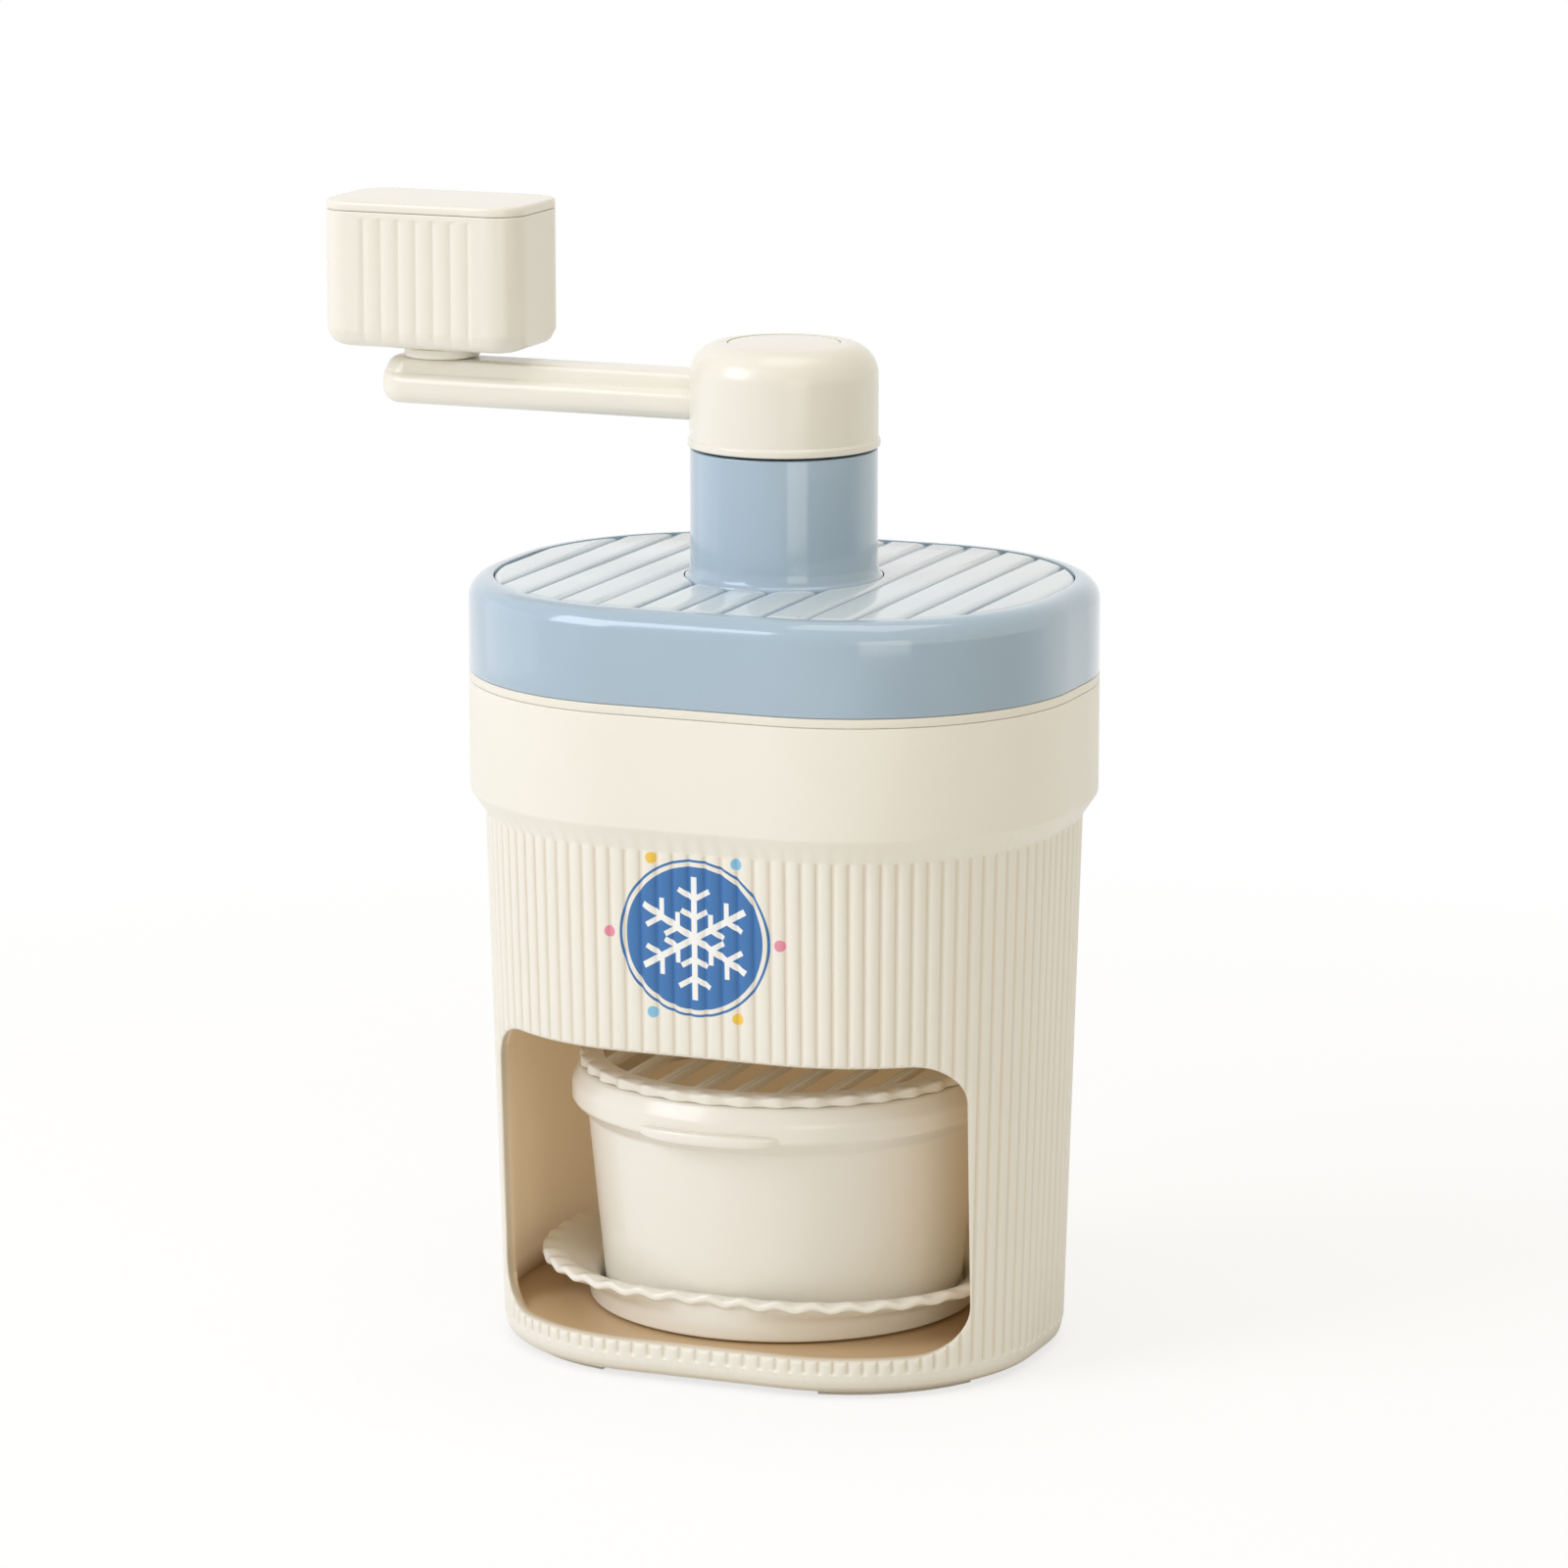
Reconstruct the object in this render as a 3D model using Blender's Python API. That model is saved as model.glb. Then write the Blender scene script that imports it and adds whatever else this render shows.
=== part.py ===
"""Hand cranked ice crusher: ribbed housing, lift-out hopper with a blade, lid with crank, cup on a saucer.

Units are metres and +Z is up. The crank turns on the Z axis, the window faces -Y, and Z = 0 is the flat
underside of the base plate, with the four feet standing a little below it.
"""

import math

import bmesh
import bpy
from mathutils import Matrix, Vector

for old in list(bpy.data.objects):
    bpy.data.objects.remove(old, do_unlink=True)

MM = 0.001

# Facets round large, middling and small turned pieces
LARGE = 36
MIDDLE = 20
SMALL = 8

# Fits: the running gap between pieces that touch or turn in each other
GAP = 0.3 * MM

# Plan of the collar and lid, a rounded rectangle
BODY_WIDTH = 130 * MM
BODY_DEPTH = 106 * MM
BODY_END_FLAT = 10 * MM

# Housing
HOUSING_WALL = 2.6 * MM
COLLAR_TOP = 140.1 * MM
COLLAR_HEIGHT = 23.1 * MM
BEVEL_HEIGHT = 4.7 * MM
RIB_FOOT = 3.9 * MM
RIB_COUNT = 110
RIB_DEPTH = 0.75 * MM
RIB_RUNOUT = 1.1 * MM
BODY_INSET = 3.2 * MM
BODY_TAPER = 0.029
FOOT_ROUND_WIDTH = 2.0 * MM
FOOT_ROUND_HEIGHT = 3.4 * MM
SKIRT_WALL = 3.0 * MM
FLOOR_TOP = 7.3 * MM
FLOOR_THICK = 2.2 * MM

# Window in front
WINDOW_WIDTH = 104 * MM
WINDOW_HEIGHT = 61.6 * MM
WINDOW_RADIUS = 9 * MM
WINDOW_REACH = 42 * MM

# Base plate, screws and feet
PLATE_THICK = 2.2 * MM
SCREW_X = 36 * MM
SCREW_Y = 20 * MM
SCREW_RADIUS = 1.3 * MM
SCREW_HEAD_RADIUS = 2.7 * MM
SCREW_HEAD_HEIGHT = 0.9 * MM
SCREW_BITE = 3.4 * MM
BOSS_WALL = 1.7 * MM
PAD_THICK = 2.0 * MM
PAD_STAND = 1.2 * MM
PAD_WIDTH = 4.6 * MM
PAD_EDGE = 0.9 * MM
PAD_START = 27
PAD_END = 79

# Ice hopper
FLANGE_THICK = 1.7 * MM
HOPPER_SKIRT_WALL = 2.8 * MM
HOPPER_PLATE_DROP = 6.7 * MM
HOPPER_PLATE_THICK = 2.0 * MM
TUB_WALL = 2.2 * MM
TUB_CLEARANCE = 1.9 * MM
DECK_TOP = 78.4 * MM
DECK_THICK = 3.7 * MM

# Blade and its slot
BLADE_END_GAP = 3 * MM
BLADE_WIDTH = 17 * MM
BLADE_THICK = 1.0 * MM
BLADE_BEVEL = 3.0 * MM
BLADE_EDGE = 0.15 * MM
BLADE_START = 5 * MM
BLADE_TILT = math.radians(6)
BLADE_RISE = 0.2 * MM
BLADE_CENTRE_Y = 7 * MM
BLADE_SCREW_SPAN = 22 * MM
BLADE_SCREW_RADIUS = 1.2 * MM
BLADE_SCREW_HEAD = 2.8 * MM
BLADE_SCREW_HEAD_HEIGHT = 0.8 * MM
BLADE_SCREW_Y = 2.5 * MM
SLOT_WIDTH = 6 * MM

# Lid
LID_WALL = 2.6 * MM
LID_HEIGHT = 19.2 * MM
LID_ROUND = 4.4 * MM
LID_DECK_DROP = 2.2 * MM
LID_DECK_THICK = 2.2 * MM
PANEL_BORDER = 5.3 * MM
PANEL_GROOVE = 0.6 * MM
PANEL_RISE = 0.1 * MM
PANEL_SLOPE = 1.6 * MM
FLUTE_COUNT = 13
FLUTE_DEPTH = 0.9 * MM

# Tower on the lid
TOWER_RADIUS = 19.5 * MM
TOWER_HEIGHT = 26.7 * MM
TOWER_WALL = 2.2 * MM
TOWER_ROOF = 3.0 * MM
TOWER_FOOT = 1.5 * MM

# Lid liner, its screws and the seal
LINER_THICK = 1.8 * MM
LINER_SKIRT_WALL = 1.8 * MM
LINER_SKIRT_DEPTH = 6.5 * MM
LINER_HUB_WALL = 2.0 * MM
LINER_HUB_DROP = 5.0 * MM
LINER_HUB_RISE = 5.0 * MM
LINER_SCREW_RING = 33 * MM
SEAL_WIDTH = 2.2 * MM
SEAL_HEIGHT = 1.2 * MM

# Shaft and bushes
SHAFT_RADIUS = 4 * MM
SHAFT_RISE = 14.7 * MM
SHAFT_SQUARE = 5.6 * MM
PRESSER_SQUARE = 7.0 * MM
PRESSER_SQUARE_DROP = 5.2 * MM
BUSH_WALL = 1.7 * MM
BUSH_FLANGE = 2.4 * MM
BUSH_FLANGE_THICK = 0.9 * MM
BUSH_LENGTH = 8.5 * MM

# Crank
CAP_RADIUS = 19.6 * MM
CAP_LIP = 0.4 * MM
CAP_LIP_HEIGHT = 1.4 * MM
CAP_SEAM = 0.6 * MM
CAP_RISE = 22 * MM
CAP_ROUND = 6.7 * MM
CAP_WALL = 2.4 * MM
CAP_ROOF = 7.0 * MM
HUB_RADIUS = 7 * MM
DISC_RADIUS = 11.5 * MM
DISC_THICK = 1.6 * MM
HEAD_POCKET_DEPTH = 3.4 * MM
SHAFT_SCREW_RADIUS = 1.9 * MM
SHAFT_SCREW_HEAD = 3.8 * MM
SHAFT_SCREW_LENGTH = 9 * MM
SHAFT_SCREW_HEAD_HEIGHT = 1.9 * MM
SHAFT_WASHER_RADIUS = 4.6 * MM
SHAFT_WASHER_THICK = 0.6 * MM
ARM_RISE = 5.2 * MM
ARM_HEIGHT = 9.8 * MM
ARM_HALF_WIDTH = 7 * MM
ARM_STEP = 0.9 * MM
ARM_STEP_HEIGHT = 5.6 * MM
ARM_OVERHANG = 4.9 * MM

# Grip
GRIP_X = -77.5 * MM
GRIP_WIDTH = 45.5 * MM
GRIP_DEPTH = 27 * MM
GRIP_RADIUS = 7 * MM
GRIP_HEIGHT = 28.8 * MM
GRIP_WALL = 2.0 * MM
GRIP_FLOOR = 3.0 * MM
GRIP_FOOT_ROUND = 3.6 * MM
GRIP_FLUTES = 6
GRIP_FLUTE_PITCH = 4 * MM
GRIP_FLUTE_DEPTH = 0.5 * MM
GRIP_COVER_THICK = 1.8 * MM
GRIP_COVER_PLUG = 4.0 * MM
GRIP_HUB_WALL = 2.2 * MM
GRIP_HUB_HEIGHT = 12 * MM
COLLAR_RADIUS = 8 * MM
COLLAR_THICK = 2.0 * MM
PIN_RADIUS = 2.3 * MM
PIN_HEAD_RADIUS = 4 * MM
PIN_HEAD_HEIGHT = 1.5 * MM
PIN_HEAD_SINK = 0.4 * MM
PIN_NECK = 0.6 * MM
PIN_TIP = 1.6 * MM
CLIP_THICK = 0.8 * MM
CLIP_RADIUS = 4.2 * MM

# Presser
PRESSER_CLEARANCE = 3.2 * MM
PRESSER_LIFT = 9.6 * MM
PRESSER_THICK = 3.0 * MM
PRESSER_HUB_RADIUS = 9 * MM
PRESSER_HUB_DROP = 2.3 * MM
PRESSER_HUB_RISE = 9 * MM
PRESSER_RIBS = 6
PRESSER_RIB_WIDTH = 2.0 * MM
PRESSER_RIB_HEIGHT = 5 * MM
SPIKE_LENGTH = 6.6 * MM
SPIKE_SIZE = 6.0 * MM
SPIKE_LEAN = 1.6 * MM
SPIKE_RING_START = 15 * MM
SPIKE_EDGE = 5.5 * MM
SPIKE_RINGS = ((3, 15), (4, 50), (5, 10))
SHAFT_END_WASHER = 6.5 * MM
SHAFT_END_WASHER_THICK = 1.2 * MM
PRESSER_SCREW_RADIUS = 1.6 * MM
PRESSER_SCREW_HEAD = 3.4 * MM
PRESSER_SCREW_HEAD_HEIGHT = 1.9 * MM
PRESSER_SCREW_LENGTH = 9 * MM
SPRING_MEAN_RADIUS = 6.6 * MM
SPRING_WIRE = 0.6 * MM
SPRING_TURNS = 7
SPRING_POINTS = 9
SEAT_RADIUS = 8.4 * MM
SEAT_THICK = 1.2 * MM

# Cup
CUP_CLEARANCE = 0.8 * MM
CUP_NECK_INSET = 3.4 * MM
CUP_MOUTH_INSET = 1.5 * MM
CUP_DRAFT = 3.6 * MM
CUP_WALL = 1.9 * MM
CUP_FLOOR = 2.2 * MM
CUP_NECK_Z = 47.6 * MM
CUP_RIM_Z = 50.8 * MM
CUP_BAND_TOP = 54.4 * MM
CUP_TOP = 58.0 * MM
CUP_FOOT_ROUND = 1.1 * MM
TAB_OUT = 1.4 * MM
TAB_HEIGHT = 3.0 * MM
TAB_ANGLE = 20

# Strainer
STRAINER_PLATE = 1.8 * MM
STRAINER_EDGE = 2.0 * MM
STRAINER_SKIRT = 5.0 * MM
STRAINER_SKIRT_WALL = 1.5 * MM
STRAINER_WAVES = 36
STRAINER_WAVE = 0.45 * MM
STRAINER_PITCH = 8.8 * MM
STRAINER_BAR = 2.2 * MM
STRAINER_RING = 3.0 * MM

# Saucer
SAUCER_WIDTH = 103 * MM
SAUCER_CLEARANCE = 0.95 * MM
SAUCER_END_FLAT = 3 * MM
SAUCER_FOOT_RING = 1.9 * MM
SAUCER_HIP_RING = 3.7 * MM
SAUCER_HIP_Z = 12.6 * MM
SAUCER_TOP = 17.4 * MM
SAUCER_EDGE = 1.8 * MM
SAUCER_LIP = 5.4 * MM
SAUCER_FLOOR = 2.0 * MM
SAUCER_WAVES = 40
SAUCER_WAVE = 0.5 * MM
CUP_SEAT_CLEARANCE = 0.5 * MM

# Where the plain collar ends, and where the ribs below the bevel begin
CREASE_Z = COLLAR_TOP - COLLAR_HEIGHT
RIB_TOP = CREASE_Z - BEVEL_HEIGHT


def wall_inset(z):
    """How far the tapered wall stands in from the collar at a height."""
    return BODY_INSET + BODY_TAPER * (RIB_TOP - z)


def room_inside(z):
    """Half the housing's depth between its inner walls at a height."""
    return BODY_DEPTH / 2 - wall_inset(z) - HOUSING_WALL


# Levels and radii that follow from the sizes above
BODY_RADIUS = (BODY_DEPTH - BODY_END_FLAT) / 2
FLANGE_BOTTOM = COLLAR_TOP + GAP
FLANGE_TOP = FLANGE_BOTTOM + FLANGE_THICK
HOPPER_PLATE_Z = COLLAR_TOP - HOPPER_PLATE_DROP
LID_BOTTOM = FLANGE_TOP + GAP
LID_TOP = LID_BOTTOM + LID_HEIGHT
LID_DECK = LID_TOP - LID_DECK_DROP
TOWER_TOP = LID_TOP + TOWER_HEIGHT
SKIRT_INSET = HOUSING_WALL + GAP
HOPPER_MOUTH_INSET = SKIRT_INSET + HOPPER_SKIRT_WALL
SEAL_BOTTOM = FLANGE_TOP + GAP
LINER_BOTTOM = SEAL_BOTTOM + SEAL_HEIGHT + GAP
LINER_TOP = LINER_BOTTOM + LINER_THICK
BASE_INSET = BODY_INSET + BODY_TAPER * (RIB_TOP - FOOT_ROUND_HEIGHT)
PLATE_INSET = BASE_INSET + SKIRT_WALL + GAP
TUB_BOTTOM = DECK_TOP - DECK_THICK
TUB_RADIUS = room_inside(TUB_BOTTOM) - TUB_CLEARANCE - TUB_WALL
BLADE_LENGTH = TUB_RADIUS - BLADE_START - BLADE_END_GAP
BUSH_RADIUS = SHAFT_RADIUS + GAP + BUSH_WALL
BUSH_BORE = SHAFT_RADIUS + GAP
SHAFT_TOP = TOWER_TOP + SHAFT_RISE
CAP_BOTTOM = TOWER_TOP + CAP_SEAM
CAP_TOP = TOWER_TOP + CAP_RISE
HUB_BOTTOM = TOWER_TOP + GAP + BUSH_FLANGE_THICK + GAP
LOWER_BUSH_BOTTOM = LINER_BOTTOM - LINER_HUB_DROP - GAP - BUSH_FLANGE_THICK
ARM_BOTTOM = TOWER_TOP + ARM_RISE
ARM_TOP = ARM_BOTTOM + ARM_HEIGHT
COLLAR_BOTTOM = ARM_TOP + GAP
GRIP_BOTTOM = COLLAR_BOTTOM + COLLAR_THICK + GAP
GRIP_TOP = GRIP_BOTTOM + GRIP_HEIGHT
PRESSER_RADIUS = TUB_RADIUS - PRESSER_CLEARANCE
PRESSER_BOTTOM = DECK_TOP + PRESSER_LIFT
PRESSER_TOP = PRESSER_BOTTOM + PRESSER_THICK
PRESSER_FOOT = PRESSER_BOTTOM - PRESSER_HUB_DROP
SHAFT_BOTTOM = PRESSER_FOOT
SEAT_BOTTOM = LOWER_BUSH_BOTTOM - GAP - SEAT_THICK
PRESSER_SQUARE_TOP = SEAT_BOTTOM - PRESSER_SQUARE_DROP
SAUCER_BOTTOM = FLOOR_TOP + GAP
CUP_BOTTOM = SAUCER_BOTTOM + SAUCER_FLOOR + GAP
CUP_RIM_RADIUS = room_inside(CUP_BAND_TOP) - CUP_CLEARANCE
CUP_NECK_RADIUS = CUP_RIM_RADIUS - CUP_NECK_INSET
CUP_MOUTH_RADIUS = CUP_RIM_RADIUS - CUP_MOUTH_INSET
CUP_FLOOR_RADIUS = CUP_NECK_RADIUS - CUP_DRAFT
SAUCER_DEPTH = 2 * (room_inside(SAUCER_TOP) - SAUCER_CLEARANCE)
SAUCER_RADIUS = (SAUCER_DEPTH - SAUCER_END_FLAT) / 2
SAUCER_FOOT_RADIUS = CUP_FLOOR_RADIUS + SAUCER_FOOT_RING
SAUCER_HIP_RADIUS = CUP_FLOOR_RADIUS + SAUCER_HIP_RING

CREAM = (0.871, 0.831, 0.753)
SHELL_CREAM = (0.904, 0.877, 0.815)
BLUE = (0.455, 0.556, 0.645)
PALE_BLUE = (0.584, 0.645, 0.701)
STEEL = (0.62, 0.62, 0.63)
RUBBER = (0.78, 0.75, 0.69)
BEARING = (0.86, 0.86, 0.83)


def finish(name, mesh, colour, roughness=0.35, metallic=0.0, location=(0, 0, 0), parent=None):
    """Makes the named object with its own material, shaded smooth up to 30 degrees."""
    mesh.name = name
    piece = bpy.data.objects.new(name, mesh)
    bpy.context.scene.collection.objects.link(piece)
    paint = bpy.data.materials.new(name)
    paint.use_nodes = True
    shader = paint.node_tree.nodes["Principled BSDF"]
    shader.inputs["Base Color"].default_value = (*colour, 1)
    shader.inputs["Roughness"].default_value = roughness
    shader.inputs["Metallic"].default_value = metallic
    paint.diffuse_color = (*colour, 1)
    mesh.materials.clear()
    mesh.materials.append(paint)
    mesh.shade_smooth()
    mesh.set_sharp_from_angle(angle=math.radians(30))
    piece.location = location
    piece.parent = parent
    return piece


def axis(name, location):
    """An empty that marks a joint's axis; its children's places are given from it."""
    empty = bpy.data.objects.new(name, None)
    empty.location = location
    bpy.context.scene.collection.objects.link(empty)
    return empty


def plan(width, depth, radius, count):
    """Points and outward normals of a rounded rectangle, evenly spaced from the front centre."""
    flat_x = width - 2 * radius
    flat_y = depth - 2 * radius
    arc = math.pi * radius / 2
    perimeter = 2 * flat_x + 2 * flat_y + 4 * arc
    runs = [(flat_x, -90), (arc, -90), (flat_y, 0), (arc, 0),
            (flat_x, 90), (arc, 90), (flat_y, 180), (arc, 180)]
    start = Vector((-flat_x / 2, -depth / 2))
    points = []
    for index in range(count):
        walk = (flat_x / 2 + perimeter * index / count) % perimeter
        place = start.copy()
        for run, (length, heading) in enumerate(runs):
            side = Vector((math.cos(math.radians(heading)), math.sin(math.radians(heading))))
            along = Vector((-side.y, side.x))
            is_arc = run % 2 == 1
            step = min(walk, length)
            if is_arc:
                turn = step / radius
                normal = side * math.cos(turn) + along * math.sin(turn)
                place = place + (normal - side) * radius
            else:
                normal = side
                place = place + along * step
            walk -= step
            if walk <= 1e-12:
                break
        points.append((place, normal))
    return points


def inset_ring(points, inset, z):
    """The plan drawn in by an even inset, or by one inset for each point, at one height."""
    if isinstance(inset, (int, float)):
        inset = [inset] * len(points)
    return [Vector((*(p - n * d), z)) for (p, n), d in zip(points, inset)]


def round_ring(points, radius, z):
    """A circle whose points lie in the same directions as the points of the plan."""
    ring = []
    for place, _ in points:
        direction = place.normalized()
        ring.append(Vector((direction.x * radius, direction.y * radius, z)))
    return ring


def loft(rings):
    """A closed solid through rings that run bottom to top, with flat ends.

    A ring may have a whole multiple of its neighbour's points, and is then fanned to it.
    """
    form = bmesh.new()
    loops = [[form.verts.new(p) for p in ring] for ring in rings]
    for low, high in zip(loops, loops[1:]):
        coarse, fine = (low, high) if len(low) <= len(high) else (high, low)
        ratio = len(fine) // len(coarse)
        for i, here in enumerate(coarse):
            there = coarse[(i + 1) % len(coarse)]
            part = [fine[(i * ratio + k) % len(fine)] for k in range(ratio + 1)]
            if ratio == 1:
                faces = [(here, there, part[1], part[0])]
            else:
                half = ratio // 2
                faces = [(here, part[k + 1], part[k]) for k in range(half)]
                faces.append((here, there, part[half]))
                faces += [(there, part[k + 1], part[k]) for k in range(half, ratio)]
            for face in faces:
                form.faces.new(face if coarse is low else face[::-1])
    form.faces.new(loops[0][::-1])
    form.faces.new(loops[-1])
    return to_mesh(form)


def to_mesh(form):
    """Turns the working form into a mesh and frees it."""
    mesh = bpy.data.meshes.new("form")
    form.to_mesh(mesh)
    form.free()
    return mesh


def turned(profile, sides=32):
    """A solid of revolution about Z from a closed profile of (radius, z), run anticlockwise.

    A profile that starts and ends on the axis is closed there, and one that stays off it is a ring.
    """
    form = bmesh.new()
    solid = profile[0][0] == 0 and profile[-1][0] == 0
    columns = []
    for index in range(sides):
        turn = 2 * math.pi * index / sides
        columns.append([(r * math.cos(turn), r * math.sin(turn), z) for r, z in profile])
    rows = []
    for k, (radius, z) in enumerate(profile):
        if radius == 0:
            rows.append([form.verts.new((0, 0, z))] * sides)
        else:
            rows.append([form.verts.new(column[k]) for column in columns])
    pairs = list(zip(rows, rows[1:]))
    if not solid:
        pairs.append((rows[-1], rows[0]))
    for first, second in pairs:
        for i in range(sides):
            j = (i + 1) % sides
            corners = []
            for vertex in (first[i], first[j], second[j], second[i]):
                if vertex not in corners:
                    corners.append(vertex)
            if len(corners) > 2:
                form.faces.new(corners)
    return to_mesh(form)


def disc_profile(radius, bottom, top, edge=0.0):
    """A plain disc or pin from bottom to top, with chamfered rims."""
    if edge:
        return [(0, bottom), (radius - edge, bottom), (radius, bottom + edge), (radius, top - edge),
                (radius - edge, top), (0, top)]
    return [(0, bottom), (radius, bottom), (radius, top), (0, top)]


def washer_profile(inner, outer, bottom, top):
    """A plain ring from bottom to top."""
    return [(inner, bottom), (outer, bottom), (outer, top), (inner, top)]


def boss_profile(bottom, top, hole_top):
    """A screw boss that hangs down to bottom, with a blind hole for a screw's shank."""
    hole = SCREW_RADIUS + GAP
    outside = hole + BOSS_WALL
    return [(0, hole_top), (hole, hole_top), (hole, bottom), (outside, bottom), (outside, top), (0, top)]


def arc_profile(centre_r, centre_z, radius, start, end, steps):
    """Points of a profile on an arc, with angles in degrees from the +radius direction."""
    points = []
    for k in range(steps + 1):
        turn = math.radians(start + (end - start) * k / steps)
        points.append((centre_r + radius * math.cos(turn), centre_z + radius * math.sin(turn)))
    return points


def prism(outline, bottom, top):
    """A flat-sided solid between two heights over a closed outline of (x, y), run anticlockwise."""
    return loft([[Vector((x, y, z)) for x, y in outline] for z in (bottom, top)])


def box(size, centre=(0, 0, 0)):
    """A rectangular block."""
    form = bmesh.new()
    bmesh.ops.create_cube(form, size=1, matrix=Matrix.Translation(centre) @ Matrix.Diagonal((*size, 1)))
    return to_mesh(form)


def moved(mesh, matrix):
    """The same mesh, moved by a matrix."""
    mesh.transform(matrix)
    return mesh


def combine(base, tools, operation):
    """Joins or cuts one mesh with each of the tool meshes in turn, and returns the result."""
    for tool in tools:
        body = bpy.data.objects.new("body", base)
        cutter = bpy.data.objects.new("cutter", tool)
        for thing in (body, cutter):
            bpy.context.scene.collection.objects.link(thing)
        step = body.modifiers.new("step", "BOOLEAN")
        step.operation = operation
        step.solver = "EXACT"
        step.object = cutter
        bpy.context.view_layer.update()
        result = bpy.data.meshes.new_from_object(body.evaluated_get(bpy.context.evaluated_depsgraph_get()))
        for thing in (body, cutter):
            bpy.data.objects.remove(thing, do_unlink=True)
        base = result
    return base


def cut(base, *tools):
    return combine(base, tools, "DIFFERENCE")


def join(base, *tools):
    return combine(base, tools, "UNION")


def at(x, y, z=0.0):
    return Matrix.Translation((x, y, z))


def pan_screw(shank, head, head_height, length):
    """A pan head screw that points down, with the underside of its head at the origin."""
    profile = [(0, -length), (shank, -length + shank), (shank, 0), (head, 0), (head, 0.4 * head_height),
               (0.7 * head, head_height), (0, head_height)]
    return turned(profile, SMALL)


crank_axis = axis("crank_axis", (0, 0, 0))
grip_axis = axis("grip_axis", (GRIP_X, 0, 0))
cup_axis = axis("cup_axis", (0, 0, 0))

# Housing: a loft from the rounded foot over the ribbed wall and the bevel to the plain collar, then down
# inside to the floor. The ribs are beads that stand between narrow grooves, three points to a rib.
body_plan = plan(BODY_WIDTH, BODY_DEPTH, BODY_RADIUS, RIB_COUNT // 2)
rib_plan = plan(BODY_WIDTH, BODY_DEPTH, BODY_RADIUS, RIB_COUNT * 3)


def ribbed_ring(z):
    """The wall's outline at a height: two points for a bead's crown, then one for the groove after it."""
    relief = (0, 0, RIB_DEPTH)
    insets = [wall_inset(z) + relief[k % 3] for k in range(len(rib_plan))]
    return inset_ring(rib_plan, insets, z)


inner_bevel_top = CREASE_Z + 0.4 * HOUSING_WALL
inner_bevel_foot = RIB_TOP + 0.1 * HOUSING_WALL
housing_rings = [
    inset_ring(body_plan, BASE_INSET + SKIRT_WALL, FLOOR_TOP - FLOOR_THICK),
    inset_ring(body_plan, BASE_INSET + SKIRT_WALL, 0),
    inset_ring(body_plan, BASE_INSET + FOOT_ROUND_WIDTH, 0),
    inset_ring(body_plan, BASE_INSET + 0.35 * FOOT_ROUND_WIDTH, 0.28 * FOOT_ROUND_HEIGHT),
    inset_ring(body_plan, BASE_INSET, FOOT_ROUND_HEIGHT),
    inset_ring(body_plan, wall_inset(RIB_FOOT), RIB_FOOT),
    ribbed_ring(RIB_FOOT + RIB_RUNOUT),
    ribbed_ring(RIB_TOP - RIB_RUNOUT),
    inset_ring(body_plan, BODY_INSET, RIB_TOP),
    inset_ring(body_plan, 0, CREASE_Z),
    inset_ring(body_plan, 0, COLLAR_TOP),
    inset_ring(body_plan, HOUSING_WALL, COLLAR_TOP),
    inset_ring(body_plan, HOUSING_WALL, inner_bevel_top),
    inset_ring(body_plan, BODY_INSET + HOUSING_WALL, inner_bevel_foot),
    inset_ring(body_plan, wall_inset(FLOOR_TOP) + HOUSING_WALL, FLOOR_TOP),
]
housing = loft(housing_rings)

# The window is cut along Y with its sill level with the floor, so the saucer slides straight out.
window_outline = []
for place, _ in plan(WINDOW_WIDTH, WINDOW_HEIGHT, WINDOW_RADIUS, 4 * 12):
    window_outline.append((place.x, place.y))
window_cutter = prism(window_outline, 0, WINDOW_REACH)
window_cutter.transform(
    Matrix.Translation((0, -BODY_DEPTH / 2 - 2 * MM, FLOOR_TOP + WINDOW_HEIGHT / 2))
    @ Matrix.Rotation(math.radians(90), 4, "X") @ Matrix.Diagonal((1, 1, -1, 1)))
window_cutter.flip_normals()
housing = cut(housing, window_cutter)

# Bosses under the floor take the screws of the base plate.
corners = [(sx * SCREW_X, sy * SCREW_Y) for sy in (-1, 1) for sx in (-1, 1)]
boss_top = FLOOR_TOP - 0.5 * FLOOR_THICK
for x, y in corners:
    boss = turned(boss_profile(PLATE_THICK + GAP, boss_top, boss_top - GAP), SMALL)
    housing = join(housing, moved(boss, at(x, y)))
finish("housing", housing, SHELL_CREAM, 0.38)

# Base plate: closes the skirt from below, with counterbores for its screws and pockets for the feet.
small_plan = plan(BODY_WIDTH, BODY_DEPTH, BODY_RADIUS, LARGE)
base_plate = loft([inset_ring(small_plan, PLATE_INSET, 0), inset_ring(small_plan, PLATE_INSET, PLATE_THICK)])


def pad_outline(side_x, side_y, grow, steps=6):
    """An arc band that follows the corner of the base, widened on every side by grow."""
    radius = BODY_RADIUS - PLATE_INSET - PAD_EDGE
    centre = Vector((side_x * (BODY_WIDTH / 2 - BODY_RADIUS), side_y * (BODY_DEPTH / 2 - BODY_RADIUS)))
    spread = math.degrees(grow / radius)
    outer = []
    inner = []
    for k in range(steps + 1):
        turn = math.radians(PAD_START - spread + (PAD_END - PAD_START + 2 * spread) * k / steps)
        ray = Vector((side_x * math.cos(turn), side_y * math.sin(turn)))
        outer.append(centre + ray * (radius + grow))
        inner.append(centre + ray * (radius - PAD_WIDTH - grow))
    loop = outer + inner[::-1]
    return [(p.x, p.y) for p in (loop if side_x * side_y > 0 else loop[::-1])]


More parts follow.
